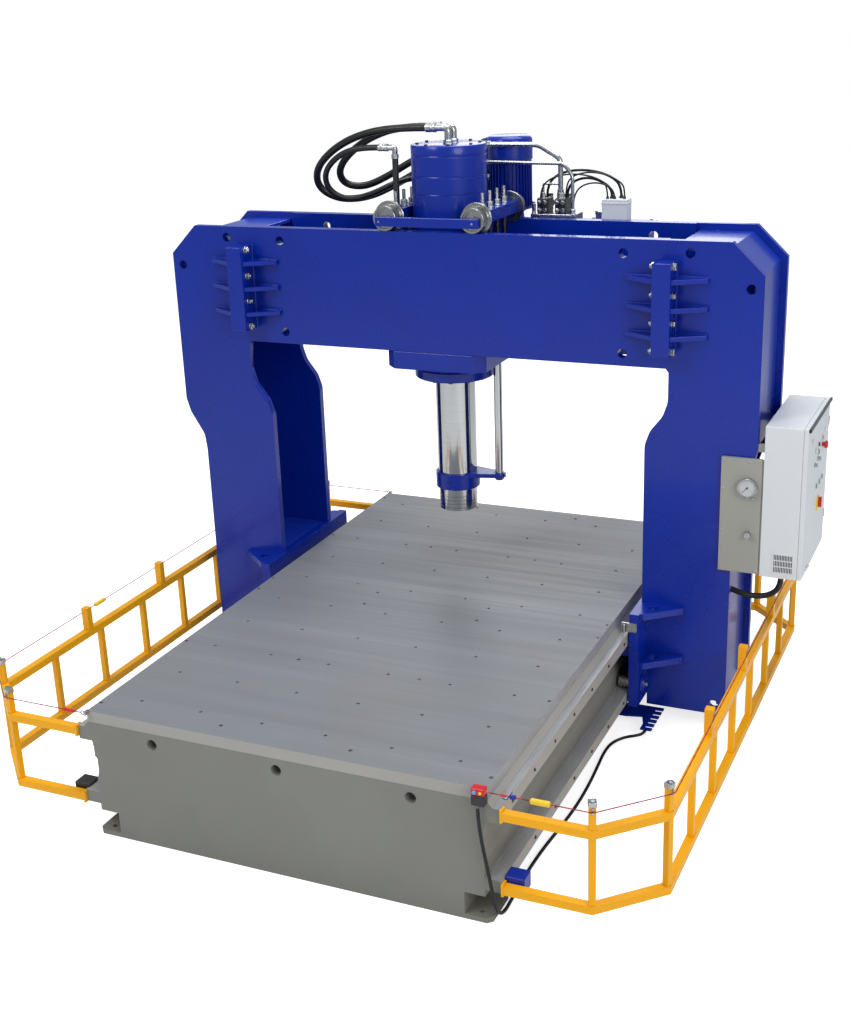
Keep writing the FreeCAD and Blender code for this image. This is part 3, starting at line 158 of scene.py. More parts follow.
def metal(name, colour, rough, streak=(1, 1, 1), scale=40, mottle=0.12, lines=0.1, wear=0.25):
    made = Finish(name, metal=1.0)
    cloud = made.noise(3.0, 4.0)
    tone = made.ramp(cloud, [(0.3, darker(colour, 1 - mottle)), (0.7, darker(colour, 1 + mottle))])
    drawn = made.noise(scale, 3.0, stretch=streak)
    return made.skin(made.mix(made.spread(drawn, 0.0, wear), tone, darker(colour, 0.7)),
        made.spread(drawn, rough * 0.75, rough * 1.3), drawn, lines, 0.0005)


def plastic(name, colour, rough=0.35, grain=300, peel=0.08):
    made = Finish(name)
    tone = made.ramp(made.noise(22, 3.0), [(0.35, darker(colour, 0.94)), (0.65, darker(colour, 1.04))])
    return made.skin(tone, made.spread(made.noise(60, 2.0), rough * 0.85, rough * 1.2),
        made.noise(grain, 2.0), peel, 0.0004)


def tableSteel():
    # planed steel: bands across the table, each pass of the cutter a little off in tone
    made = Finish("tableSteel", metal=0.15, specular=0.25)
    bands = made.noise(1.0, 3.0, stretch=(0.3, 7.0, 1.0))
    passes = made.noise(1.0, 2.0, stretch=(0.8, 38.0, 1.0))
    stains = made.noise(1.1, 3.0, twist=0.5)
    tone = made.ramp(bands, [(0.3, tint(132, 134, 137)), (0.52, tint(137, 139, 142)),
        (0.72, tint(143, 145, 148))])
    tone = made.mix(made.spread(passes, 0.0, 0.1), tone, tint(121, 124, 128))
    tone = made.mix(made.spread(stains, 0.0, 0.35, 0.42, 0.72), tone, tint(130, 128, 122))
    return made.skin(tone, made.spread(passes, 0.4, 0.52), made.noise(1.0, 2.0, stretch=(3.0, 200.0, 1.0)),
        0.05, 0.0003)


def groundSteel():
    # the ground ways: pale, with long lines where the wheels run
    made = Finish("groundWay", metal=0.3, specular=0.5)
    lines = made.noise(3.0, 3.0, stretch=(40, 1.2, 40))
    cloud = made.noise(2.0, 4.0)
    tone = made.ramp(cloud, [(0.3, tint(168, 169, 170)), (0.7, tint(186, 187, 188))])
    return made.skin(made.mix(made.spread(lines, 0.0, 0.3), tone, tint(148, 148, 147)),
        made.spread(lines, 0.26, 0.4), lines, 0.08, 0.0004)


def ropeSheath():
    # red sheath with dark flecks along it
    made = Finish("ropeSheath")
    wave = node(made.tree, "ShaderNodeTexWave", {"Scale": 9.0, "Distortion": 0.6, "Vector": made.place},
        wave_type="BANDS", bands_direction="DIAGONAL")
    tone = made.ramp(wave.outputs["Fac"], [(0.55, tint(188, 26, 44)), (0.8, tint(88, 30, 52))])
    return made.skin(tone, made.spread(made.noise(200, 2.0), 0.4, 0.6), made.noise(500, 2.0), 0.2, 0.0004)


finishes = {
    "blue": paint("gantryBlue", tint(3, 40, 153), 0.28, coat=0.22, mottle=0.06, peel=0.12, grain=90,
        specular=0.36),
    # a lighter, glossier copy of the gantry blue, for the leg webs, which carry the same paint: painted
    # light
    "litWebBlue": paint("litWebBlue", tint(20, 54, 168), 0.3, coat=0.25, mottle=0.08, peel=0.15, grain=90),
    "bedPaint": paint("bedPaint", tint(131, 131, 123), 0.52, mottle=0.05, peel=0.25, grain=220,
        specular=0.35),
    "edgeSteel": paint("edgeSteel", tint(166, 163, 156), 0.46, mottle=0.06, peel=0.1, grain=400),
    "yellow": paint("railYellow", tint(247, 174, 8), 0.36, coat=0.03, mottle=0.06, peel=0.15,
        specular=0.28),
    "cabinet": paint("cabinetGrey", tint(222, 225, 227), 0.42, mottle=0.02, peel=0.3, grain=700),
    "beige": paint("panelBeige", tint(162, 161, 153), 0.45, mottle=0.03, peel=0.25, grain=500),
    "table": tableSteel(),
    "ground": groundSteel(),
    "zinc": metal("zincPlate", tint(190, 193, 193), 0.28, scale=90, mottle=0.07, lines=0.02, wear=0.1),
    "steel": metal("oiledSteel", tint(178, 178, 176), 0.26, scale=60, mottle=0.07),
    "darkSteel": metal("darkSteel", tint(92, 90, 88), 0.36, scale=60),
    "chrome": metal("hardChrome", tint(200, 201, 201), 0.09, streak=(1, 1, 40), scale=6, mottle=0.03,
        lines=0.03),
    "hose": plastic("hoseRubber", tint(24, 24, 25), 0.38, grain=420, peel=0.2),
    "cable": plastic("cableSheath", tint(17, 17, 18), 0.46),
    "rope": ropeSheath(),
    "red": plastic("signalRed", tint(206, 28, 32), 0.3),
    "green": plastic("signalGreen", tint(18, 146, 92), 0.3),
    "white": plastic("whitePlastic", tint(232, 233, 230), 0.32),
    "yellowPlastic": plastic("signalYellow", tint(246, 206, 30), 0.34),
    "amber": plastic("amberLens", tint(244, 140, 30), 0.2),
    "lightBlue": plastic("lightBlue", tint(96, 166, 206), 0.34),
    "dark": plastic("darkPlastic", tint(40, 41, 43), 0.42),
    "greyPlastic": plastic("greyPlastic", tint(112, 113, 114), 0.45),
    "darkGrey": plastic("darkGrey", tint(74, 75, 77), 0.45),
    "lampRing": plastic("lampRing", tint(196, 198, 198), 0.3),
}
print("finishes:", len(finishes))


# ---- the tools that shape the pieces
def holdOnly(piece):
    ops.object.select_all(action="DESELECT")
    piece.select_set(True)
    bpy.context.view_layer.objects.active = piece


class Editing:
    # edit mode on one piece, where all of it, nothing or what was picked before is picked
    def __init__(self, piece, pick="SELECT", mode="VERT"):
        holdOnly(piece)
        ops.object.mode_set(mode="EDIT")
        ops.mesh.select_mode(type=mode)
        if pick:
            ops.mesh.select_all(action=pick)

    def __enter__(self):
        return self

    def __exit__(self, *problem):
        ops.object.mode_set(mode="OBJECT")


def primitive(kind, **values):
    ops.object.select_all(action="DESELECT")
    getattr(ops.mesh, "primitive_%s_add" % kind)(**values)
    return bpy.context.object


def settle(piece):
    # the piece keeps its place in its mesh
    holdOnly(piece)
    ops.object.transform_apply(location=True, rotation=True, scale=True)
    return piece


def cleaned(piece, smooth=None):
    with Editing(piece):
        ops.mesh.remove_doubles(threshold=0.00002)
        ops.mesh.normals_make_consistent(inside=False)
    if smooth:
        ops.object.shade_smooth_by_angle(angle=math.radians(smooth))
    return piece


aims = {"z": (0, 0, 0), "-z": (math.pi, 0, 0), "x": (0, math.pi / 2, 0), "-x": (0, -math.pi / 2, 0),
    "y": (-math.pi / 2, 0, 0), "-y": (math.pi / 2, 0, 0)}


def turned(outline, at, aim="z", sides=40, smooth=35, twist=0.0):
    # outline: (radius, distance) pairs from the back face to the front face, closed at both ends
    radius, height = outline[0]
    piece = settle(primitive("circle", vertices=sides, radius=radius, fill_type="NGON",
        location=(0, 0, height)))
    with Editing(piece):
        for nextRadius, nextHeight in outline[1:]:
            ops.mesh.extrude_region_move(TRANSFORM_OT_translate={"value": (0, 0, nextHeight - height)})
            if abs(nextRadius - radius) > 1e-7:
                share = nextRadius / radius
                ops.transform.resize(value=(share, share, 1), center_override=(0, 0, nextHeight))
            radius, height = nextRadius, nextHeight
    cleaned(piece, smooth)
    piece.data.transform(Matrix.Rotation(math.radians(twist), 4, "Z"))
    piece.rotation_euler = aims[aim]
    piece.location = at
    return settle(piece)


def plainBar(radius, length, edge=0.001):
    # outline of a plain round bar with broken edges
    return [(radius - edge, 0), (radius, edge), (radius, length - edge), (radius - edge, length)]


def drill(radius, depth, at, aim="z", sides=32):
    return turned([(radius, 0), (radius, depth)], at, aim, sides)


def block(low, high, edge=0.002, segments=2):
    low, high = Vector(low), Vector(high)
    piece = primitive("cube", size=1, location=(low + high) / 2)
    piece.scale = high - low
    settle(piece)
    with Editing(piece):
        ops.mesh.bevel(offset=edge, segments=segments, affect="EDGES")
    return cleaned(piece)


def blockAt(place, box, edge=0.002, segments=2):
    # a block whose two corners are given from that place
    low, high = (Vector(corner) + Vector(place) for corner in box)
    return block(low, high, edge, segments)


def ringOf(radius, wire, at, turn, steps, wireSteps):
    return settle(primitive("torus", major_radius=radius, minor_radius=wire, major_segments=steps,
        minor_segments=wireSteps, location=at, rotation=turn))


def joined(parts):
    holdOnly(parts[0])
    for part in parts[1:]:
        part.select_set(True)
    if len(parts) > 1:
        ops.object.join()
    return bpy.context.view_layer.objects.active


def inFinish(finish, *parts):
    # the parts as one, in a finish of its own
    piece = joined(parts)
    piece.data.materials.append(finishes[finish])
    return piece


def twinOf(piece, move):
    twin = added(piece.name, piece.data.copy())
    twin.data.transform(move)
    return twin


def copied(piece, moves):
    # the piece repeated, all in one
    made = [twinOf(piece, move if isinstance(move, Matrix) else Matrix.Translation(move)) for move in moves]
    bpy.data.objects.remove(piece)
    return joined(made)


def reflected(piece, axis="x", at=0.0):
    # the piece, or its parts, with the mirror image, in one
    if isinstance(piece, list):
        piece = joined(piece)
    along = Vector((axis == "x", axis == "y", 0))
    flip = Matrix.Diagonal((*(Vector((1, 1, 1)) - 2 * along), 1))
    twin = twinOf(piece, Matrix.Translation(at * along) @ flip @ Matrix.Translation(-at * along))
    twin.data.flip_normals()
    return joined([piece, twin])


def bored(piece, cutters):
    # one boolean for all cutters, which then go
    cutter = joined(cutters)
    holdOnly(piece)
    modifier = piece.modifiers.new("bore", "BOOLEAN")
    modifier.operation = "DIFFERENCE"
    modifier.solver = "EXACT"
    modifier.use_self = False
    modifier.object = cutter
    ops.object.modifier_apply(modifier="bore")
    bpy.data.objects.remove(cutter)
    return piece


def bevelled(piece, edge, segments, angle):
    holdOnly(piece)
    modifier = piece.modifiers.new("edges", "BEVEL")
    modifier.width = edge
    modifier.segments = segments
    modifier.limit_method = "ANGLE"
    modifier.angle_limit = math.radians(angle)
    ops.object.modifier_apply(modifier="edges")
    return piece


def pickEdges(piece, chosen, mode="EDGE"):
    # the edges that the rule chooses by their two ends; in VERT mode also those between them
    with Editing(piece, "DESELECT", mode):
        pass
    points = piece.data.vertices
    for edge in piece.data.edges:
        edge.select = chosen(*(points[i].co for i in edge.vertices))


def softened(name, edge=0.003, segments=2, angle=32, knees=None, cutters=None):
    # a node's own solid with its edges broken, and round holes where the solid has faceted ones
    piece = added("softened", nodes[name].data.copy())
    piece.data.materials.clear()
    with Editing(piece):
        ops.mesh.customdata_custom_splitnormals_clear()
        ops.mesh.remove_doubles(threshold=0.00001)
        ops.mesh.dissolve_limited(angle_limit=math.radians(0.5))
    if cutters:
        bored(piece, cutters)
    if knees:
        # bends of the outline, which run along y, are rounded further
        def isKnee(a, b):
            return (abs(a.x - b.x) < 1e-4 and abs(a.z - b.z) < 1e-4 and abs(a.y - b.y) > 0.02
                and any(math.hypot(abs(a.x) - x, a.z - z) < knees["reach"] for x, z in knees["at"]))

        pickEdges(piece, isKnee, knees["mode"])
        with Editing(piece, None, "EDGE"):
            ops.mesh.bevel(offset=knees["offset"], segments=3, affect="EDGES")
    bevelled(piece, edge, segments, angle)
    for face in piece.data.polygons:
        face.use_smooth = False
    return piece


def without(piece, low, high):
    # what stands in that space goes from the piece
    for point in piece.data.vertices:
        point.select = all(low[i] <= point.co[i] <= high[i] for i in range(3))
    for part in list(piece.data.edges) + list(piece.data.polygons):
        part.select = all(piece.data.vertices[i].select for i in part.vertices)
    with Editing(piece, None):
        ops.mesh.delete(type="VERT")
    return piece


def hexHead(across, height, at, aim, washer=0.0, twist=0.0):
    # a six-sided head or nut with its corners turned off, and a washer under it
    radius = across / math.sqrt(3)
    outline = [(radius * 0.97, washer), (radius, washer + 0.001), (radius, washer + height * 0.8),
        (radius * 0.88, washer + height)]
    parts = [turned(outline, at, aim, sides=6, smooth=10, twist=twist)]
    if washer:
        parts.append(turned(plainBar(radius * 1.12, washer, washer * 0.3), at, aim, sides=24))
    return joined(parts)


def socketScrew(radius, height, at, aim, sides=20):
    # a round head with a round socket sunk in its top
    outline = [(radius, 0), (radius, height * 0.8), (radius * 0.88, height), (radius * 0.52, height),
        (radius * 0.48, height * 0.45)]
    return turned(outline, at, aim, sides=sides, smooth=30)


def around(count, first, reach):
    # offsets on a circle, from an angle in degrees on
    angles = [math.radians(first + 360 * i / count) for i in range(count)]
    return [(reach * math.cos(angle), reach * math.sin(angle)) for angle in angles]


def dressed(piece, name, finish, body, slotName, *replaced):
    # the finished piece, or its parts as one, gets its name, finish and body
    if isinstance(piece, list):
        piece = joined(piece)
    piece.name = name
    piece.data.name = name
    if finish:
        piece.data.materials.clear()
        piece.data.materials.append(finishes[finish])
    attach(piece, body)
    if replaced:
        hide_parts(*replaced)
    return piece


def twoTone(piece, second, chosen):
    # faces that the rule chooses get a second finish
    piece.data.materials.append(finishes[second])
    for face in piece.data.polygons:
        if chosen(face.center, face.normal):
            face.material_index = len(piece.data.materials) - 1
    return piece


def routeLine(name, points, radius):
    # a tube along the points, and the path of its middle
    curve = bpy.data.curves.new(name, "CURVE")
    curve.dimensions = "3D"
    curve.resolution_u = 12
    spline = curve.splines.new("NURBS")
    spline.points.add(len(points) - 1)
    for point, place in zip(spline.points, points):
        point.co = (*place, 1.0)
    spline.order_u = 3
    spline.use_endpoint_u = True
    made = added(name, curve)
    path = [tuple(v.co) for v in bpy.data.meshes.new_from_object(made).vertices]
    curve.bevel_depth = radius
    curve.bevel_resolution = 5
    curve.use_fill_caps = True
    return made, path


def meshOf(line, name):
    # the tube as a mesh of its own
    piece = added(name, bpy.data.meshes.new_from_object(line))
    bpy.data.objects.remove(line)
    piece.data.materials.clear()
    return cleaned(piece, 40)


def pipeRun(points, radius):
    # rigid pipe: its bends lie between the points beside each corner
    line, path = routeLine("pipe", points, radius)
    line.data.bevel_resolution = 4
    return meshOf(line, "pipe")


def cordPiece(name, points, width, finish, body, replaced):
    piece, path = routeLine(name, points, width / 2)
    piece.data.materials.append(finishes[finish])
    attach(piece, body)
    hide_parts(replaced)


def hosePiece(name, points, width, replaced):
    # a hose from the cylinder to the pack
    line, path = routeLine(name + "Line", points, width / 2)
    piece = meshOf(line, name)
    piece.data.materials.append(finishes["hose"])
    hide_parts(replaced)
    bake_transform(piece)


# ---- cords: the pull ropes, the cables and the hoses
rope = {"width": 0.005, "height": 0.655, "plan": [(1.016, -1.6618), (1.433, -1.6618), (1.463, -1.6618),
    (1.4843, -1.6407), (1.7055, -1.4223), (1.7268, -1.4012), (1.7268, -1.3712), (1.7268, 1.3712),
    (1.7268, 1.4012), (1.7055, 1.4223), (1.4843, 1.6407), (1.463, 1.6618), (1.433, 1.6618),
    (1.016, 1.6618)]}
for side, name, replaced in ((1, "ropeRight", "rope_right"), (-1, "ropeLeft", "rope_left")):
    points = [(side * x, y, rope["height"]) for x, y in rope["plan"]]
    cordPiece(name, points, rope["width"], "rope", "bed", replaced)

cables = {
    "switchCable": {"width": 0.016, "body": "bed", "node": "switch_cable", "stiffness": "medium",
        "lay": "loose",
        "points": [(0.967, -1.662, 0.592), (0.97, -1.662, 0.52), (0.982, -1.664, 0.425),
            (1.001, -1.667, 0.33), (1.018, -1.666, 0.232), (1.029, -1.659, 0.145), (1.034, -1.635, 0.066),
            (1.036, -1.568, 0.014), (1.029, -1.44, 0.009), (1.022, -1.255, 0.01), (1.025, -1.04, 0.009),
            (1.042, -0.84, 0.01), (1.053, -0.63, 0.009), (1.049, -0.42, 0.01), (1.034, -0.22, 0.009),
            (1.022, -0.08, 0.01), (1.032, 0.02, 0.016), (1.085, 0.072, 0.032), (1.15, 0.08, 0.05),
            (1.179, 0.105, 0.055), (1.179, 0.145, 0.055)]},
    "cabinetCable": {"width": 0.03, "body": "portal", "node": "cabinet_cable", "stiffness": "stiff",
        "lay": "hanging",
        "points": [(1.79, 0.44, 0.919), (1.79, 0.441, 0.862), (1.768, 0.446, 0.808), (1.715, 0.453, 0.772),
            (1.645, 0.46, 0.76), (1.574, 0.465, 0.768), (1.507, 0.468, 0.79)]},
    "shortControlCable": {"width": 0.014, "body": "portal", "node": "control_cables", "stiffness": "medium",
        "lay": "hanging",
        "points": [(0.428, 1.116, 2.68), (0.43, 1.116, 2.728), (0.474, 1.111, 2.772), (0.548, 1.105, 2.788),
            (0.624, 1.102, 2.77), (0.684, 1.099, 2.73), (0.685, 1.098, 2.68)]},
    "longControlCable": {"width": 0.014, "body": "portal", "node": "control_cables", "stiffness": "medium",
        "lay": "hanging",
        "points": [(0.31, 1.122, 2.68), (0.312, 1.122, 2.742), (0.37, 1.124, 2.802), (0.478, 1.126, 2.826),
            (0.595, 1.126, 2.818), (0.688, 1.124, 2.784), (0.729, 1.121, 2.734), (0.73, 1.12, 2.68)]},
    "firstCoilLead": {"width": 0.009, "body": "portal", "node": "control_cables", "stiffness": "medium",
        "lay": "hanging",
        "points": [(0.292, 1.062, 2.672), (0.294, 1.064, 2.735), (0.346, 1.084, 2.786), (0.45, 1.09, 2.808),
            (0.56, 1.088, 2.8), (0.646, 1.084, 2.768), (0.664, 1.081, 2.722), (0.665, 1.08, 2.68)]},
    "secondCoilLead": {"width": 0.009, "body": "portal", "node": "control_cables", "stiffness": "medium",
        "lay": "hanging",
        "points": [(0.47, 1.085, 2.606), (0.471, 1.085, 2.672), (0.5, 1.084, 2.735), (0.57, 1.082, 2.764),
            (0.65, 1.079, 2.758), (0.704, 1.076, 2.722), (0.707, 1.075, 2.68)]},
    "thirdCoilLead": {"width": 0.009, "body": "portal", "node": "control_cables", "stiffness": "medium",
        "lay": "hanging",
        "points": [(0.428, 1.088, 2.672), (0.429, 1.088, 2.745), (0.462, 1.094, 2.796),
            (0.55, 1.103, 2.818), (0.655, 1.106, 2.804), (0.744, 1.096, 2.76), (0.757, 1.088, 2.716),
            (0.758, 1.086, 2.68)]},
}
for name, cable in cables.items():
    cordPiece(name, cable["points"], cable["width"], "cable", cable["body"], cable["node"])

hoses = {
    "firstHose": {"width": 0.04, "node": "cap_hoses", "bend": ((-0.2, 0.68, 3.0), (-0.2, 1.0, 3.0)),
        "points": [(-0.19, 0.645, 3.087), (-0.398, 0.645, 3.087), (-0.62, 0.66, 3.04), (-0.79, 0.69, 2.955),
            (-0.905, 0.73, 2.85), (-0.915, 0.775, 2.745), (-0.81, 0.825, 2.68), (-0.65, 0.875, 2.69),
            (-0.5, 0.925, 2.76), (-0.36, 0.975, 2.84), (-0.195, 1.026, 2.872), (-0.0302, 1.026, 2.872)]},
    "secondHose": {"width": 0.04, "node": "cap_hoses", "bend": ((-0.2, 0.73, 3.0), (-0.2, 1.03, 3.0)),
        "points": [(-0.19, 0.715, 3.087), (-0.37, 0.715, 3.087), (-0.56, 0.725, 3.03),
            (-0.71, 0.745, 2.935), (-0.792, 0.78, 2.84), (-0.778, 0.828, 2.764), (-0.68, 0.88, 2.745),
            (-0.56, 0.935, 2.8), (-0.45, 0.985, 2.87), (-0.33, 1.025, 2.93), (-0.185, 1.055, 2.962),
            (-0.0302, 1.055, 2.962)]},
    "sideHose": {"width": 0.032, "node": "side_hose", "bend": ((-0.2, 0.6, 3.0), (-0.2, 1.02, 3.0)),
        "points": [(-0.441, 0.58, 2.99), (-0.57, 0.58, 2.99), (-0.7, 0.588, 2.94), (-0.788, 0.605, 2.85),
            (-0.785, 0.645, 2.752), (-0.695, 0.695, 2.695), (-0.58, 0.765, 2.722), (-0.47, 0.85, 2.78),
            (-0.35, 0.95, 2.803), (-0.2, 1.04, 2.79), (-0.0302, 1.04, 2.79)]},
}
for name, hose in hoses.items():
    hosePiece(name, hose["points"], hose["width"], hose["node"])
print("cords laid")


# ---- bed
bed = {"halfLength": 1.64, "edge": 0.005, "liftRadius": 0.0255, "liftMouth": 0.0285, "liftDepth": 0.052,
    "liftHeight": 0.54, "liftPitch": 0.652, "wayInner": 0.98, "wayLow": 0.2, "wallInner": 1.0,
    "wallLow": 0.17}
outline = [(bed["liftMouth"], -0.002), (bed["liftMouth"], 0), (bed["liftRadius"], 0.003),
    (bed["liftRadius"], bed["liftDepth"])]
lifts = [turned(outline, (bed["liftPitch"] * i, side * bed["halfLength"], bed["liftHeight"]),
    "y" if side < 0 else "-y", sides=28) for i in (-1, 0, 1) for side in (-1, 1)]
bedCasting = softened("bed_casting", bed["edge"], cutters=lifts)
dressed(bedCasting, "bedCasting", "bedPaint", "bed", "bed_paint", "bed_casting")
twoTone(bedCasting, "ground", lambda c, n: n.z > 0.9 and abs(c.x) > bed["wayInner"] and c.z > bed["wayLow"])
twoTone(bedCasting, "edgeSteel", lambda c, n: abs(n.x) > 0.7 and abs(c.x) > bed["wallInner"]
    and c.z > bed["wallLow"])

table = {"top": 0.655, "pitch": 0.325, "rows": 10, "columns": 6, "edge": 0.0015,
    "tapped": [(0.0095, 0.001), (0.0095, 0.0), (0.0083, -0.0014), (0.0083, -0.041)],
    "counterbore": [(0.0105, 0.001), (0.01, -0.0006), (0.01, -0.012)],
    "screwColumns": (-0.985, -0.328, 0.328, 0.985),
    "screwRows": (-1.545, -0.815, -0.08, 0.085, 0.818, 1.55), "screw": (0.0085, 0.009), "screwDepth": 0.012,
    "endY": 1.63, "sideX": 0.999}
grid = [(table["pitch"] * (i - (table["columns"] - 1) / 2), table["pitch"] * (j - (table["rows"] - 1) / 2),
    0) for i in range(table["columns"]) for j in range(table["rows"])]
screwPlaces = [(x, y, 0) for x in table["screwColumns"] for y in table["screwRows"]]
sunk = [copied(turned(table[kind], (0, 0, table["top"]), sides=20), places)
    for kind, places in (("tapped", grid), ("counterbore", screwPlaces))]
tablePlates = softened("table_plates", table["edge"], cutters=sunk)
dressed(tablePlates, "tablePlates", "table", "bed", "machined_steel", "table_plates")
twoTone(tablePlates, "edgeSteel", lambda c, n: abs(n.z) < 0.5 and abs(c.y) > table["endY"])
twoTone(tablePlates, "ground", lambda c, n: abs(n.z) < 0.5 and abs(c.x) > table["sideX"])
tableScrew = socketScrew(*table["screw"], (0, 0, table["top"] - table["screwDepth"]), "z")
tableScrews = dressed(copied(tableScrew, screwPlaces), "tableScrews", "darkSteel", "bed", "zinc")
# the up-facing tops of the screw heads get the brighter zinc finish over the dark steel: a painted
# highlight
twoTone(tableScrews, "zinc", lambda c, n: n.z > 0.9 and c.z > table["top"] - 0.005)
print("bed and table done")

# screws along the side walls of the bed
wall = {"x": 1.0595, "heights": (0.535, 0.195), "count": 12, "half": 1.5, "screw": (0.008, 0.005)}
rowY = [wall["half"] * (2 * i / (wall["count"] - 1) - 1) for i in range(wall["count"])]
wayScrew = socketScrew(*wall["screw"], (wall["x"], 0, 0), "x", 16)
wayScrews = copied(wayScrew, [(0, y, z) for y in rowY for z in wall["heights"]])
dressed(reflected(wayScrews), "wayScrews", "darkSteel", "bed", "zinc")

# stops, cam pads and rope eyes
fittings = {"eyeLow": 0.62, "edge": 0.006, "ring": 0.0097, "wire": 0.0026, "ringX": 1.0045,
    "seatX": (0.984, 0.996), "seatDepth": 0.03, "seatHalf": 0.01, "ringOut": 0.0218, "shadedStopTop": 0.3,
    "padTop": 0.5, "corners": ((1, 1), (-1, 1), (-1, -1))}
bedFittings = softened("bed_fittings", fittings["edge"], segments=3)
without(bedFittings, (-2, -2, fittings["eyeLow"]), (2, 2, 1))
dressed(bedFittings, "travelStops", "blue", "bed", "blue_paint", "bed_fittings")
# the low stop at the left front end is given dark plastic: painted shade, where the blue stop lies in
# shadow
twoTone(bedFittings, "dark", lambda c, n: c.x < 0 and c.y < 0 and c.z < fittings["shadedStopTop"])
twoTone(bedFittings, "ground", lambda c, n: c.z > fittings["padTop"] and n.z > 0.5)
eyes = []
for x, y in fittings["corners"]:
    wallY = bed["halfLength"] * y
    xs = sorted(x * value for value in fittings["seatX"])
    ys = sorted((wallY, wallY + fittings["seatDepth"] * y))
    low, high = (rope["height"] + way * fittings["seatHalf"] for way in (-1, 1))
    eyes.append(block((xs[0], ys[0], low), (xs[1], ys[1], high)))
    place = (x * fittings["ringX"], wallY + fittings["ringOut"] * y, rope["height"])
    eyes.append(ringOf(fittings["ring"], fittings["wire"], place, (math.pi / 2, 0, 0), 24, 8))
dressed(eyes, "ropeEyes", "zinc", "bed", "zinc")
dressed(softened("cable_comb", 0.002), "cableComb", "blue", "bed", "blue_paint", "cable_comb")

# ---- guard rails
rail = {"edge": 0.004, "eyeLow": 0.64, "stubTop": 0.69, "clip": 0.0175, "stubReach": 0.05,
    "stubFace": 0.0153, "longFace": 1.7203, "corners": [(1.7, -1.39, -22.5), (1.7, 1.39, 22.5),
    (1.452, -1.635, -67.5), (1.452, 1.635, 67.5)],
    "roller": [(0.006, 0), (0.011, 0.001), (0.011, 0.003), (0.008, 0.005), (0.011, 0.007), (0.011, 0.009),
    (0.006, 0.01)]}


def isEye(centre, normal):
    # a rope eye: the part of a stub beyond its outer face
    if centre.z < rail["eyeLow"]:
        return False
    x, y = abs(centre.x), centre.y
    for stubX, stubY, facing in rail["corners"]:
        turn = math.radians(facing)
        outward = (x - stubX) * math.cos(turn) + (y - stubY) * math.sin(turn)
        if math.hypot(x - stubX, y - stubY) < rail["stubReach"] and outward > rail["stubFace"]:
            return True
    return x > rail["longFace"]


half, top = rail["clip"], rail["stubTop"]
clip = joined([block((-half, -half, top - 0.02), (half, half, top + 0.003), 0.0015),
    turned(rail["roller"], (half - 0.01, 0, top + 0.003), "z", 24)])
clips = copied(clip, [Matrix.Translation((x, y, 0)) @ Matrix.Rotation(math.radians(facing), 4, "Z")
    for x, y, facing in rail["corners"]])
dressed(reflected(clips), "railClips", "zinc", "bed", "zinc")
for side in ("right", "left"):
    railPiece = softened("guard_rail_" + side, rail["edge"])
    dressed(railPiece, "guardRail" + side.capitalize(), "yellow", "bed", "yellow_paint",
        "guard_rail_" + side)
    twoTone(railPiece, "zinc", isEye)

# sleeves and ferrules on the ropes
sleeves = {"blue": ("blue", [((1.112, -1.6618), (1.138, -1.6618), 0.011)]),
    "red": ("red", [((1.072, -1.6618), (1.098, -1.6618), 0.0055),
    ((-1.12, -1.6618), (-1.05, -1.6618), 0.008)]),
    "yellow": ("yellowPlastic", [((1.2, -1.6618), (1.285, -1.6618), 0.013),
    ((-1.7268, -0.585), (-1.7268, -0.495), 0.0112)])}
for colour, (finish, runs) in sleeves.items():
    made = []
    for start, end, radius in runs:
        alongX = abs(end[0] - start[0]) > abs(end[1] - start[1])
        length = math.dist(start, end)
        outline = [(radius * 0.6, 0), (radius, 0.004), (radius, length - 0.004), (radius * 0.6, length)]
        made.append(turned(outline, (*start, rope["height"]), "x" if alongX else "y", sides=20))
    dressed(made, colour + "RopeSleeves", finish, "bed", "rope_red")
print("rails done")

# ---- rope switch
ropeSwitch = {"x": (0.946, 1.007), "y": (-1.684, -1.64), "body": (0.592, 0.64), "head": (0.641, 0.673),
    "edge": 0.006, "reset": (0.964, 0.6575), "pocket": 0.0098, "indicator": (0.99, 0.6575),
    "gland": (0.967, -1.662, 0.592), "eyeX": 1.0105, "eyeY": -1.662, "stemX": 1.0035,
    "lens": [(0.0065, 0), (0.0065, 0.004), (0.0045, 0.006)],
    "button": [(0.0088, 0), (0.0088, 0.0075), (0.007, 0.009)], "buttonIn": 0.0025,
    "nut": [(0.013, 0), (0.013, 0.006), (0.0105, 0.007), (0.0105, 0.016), (0.009, 0.018)]}
resetX, resetZ = ropeSwitch["reset"]
for part, finish, slotName, replaced in (("body", "dark", "dark_plastic", ["rope_switch"]),
    ("head", "red", "red_plastic", [])):
    low, high = zip(ropeSwitch["x"], ropeSwitch["y"], ropeSwitch[part])
    piece = block(low, high, ropeSwitch["edge"], 3)
    if part == "head":
        bored(piece, [turned([(ropeSwitch["pocket"], -0.002), (ropeSwitch["pocket"], 0.0075)],
            (resetX, low[1], resetZ), "y", sides=24)])
    dressed(piece, "ropeSwitch" + part.capitalize(), finish, "bed", slotName, *replaced)
indicatorX, indicatorZ = ropeSwitch["indicator"]
indicator = turned(ropeSwitch["lens"], (indicatorX, ropeSwitch["y"][0], indicatorZ), "-y", sides=20)
dressed(indicator, "switchIndicator", "yellowPlastic", "bed", "white_plastic")
reset = turned(ropeSwitch["button"], (resetX, ropeSwitch["y"][0] + ropeSwitch["buttonIn"], resetZ), "-y",
    sides=24)
dressed(reset, "switchReset", "lightBlue", "reset_button", "light_blue_plastic", "rope_switch_reset")
gland = turned(ropeSwitch["nut"], ropeSwitch["gland"], "-z", sides=20)
dressed(gland, "switchGland", "greyPlastic", "bed", "dark_plastic")
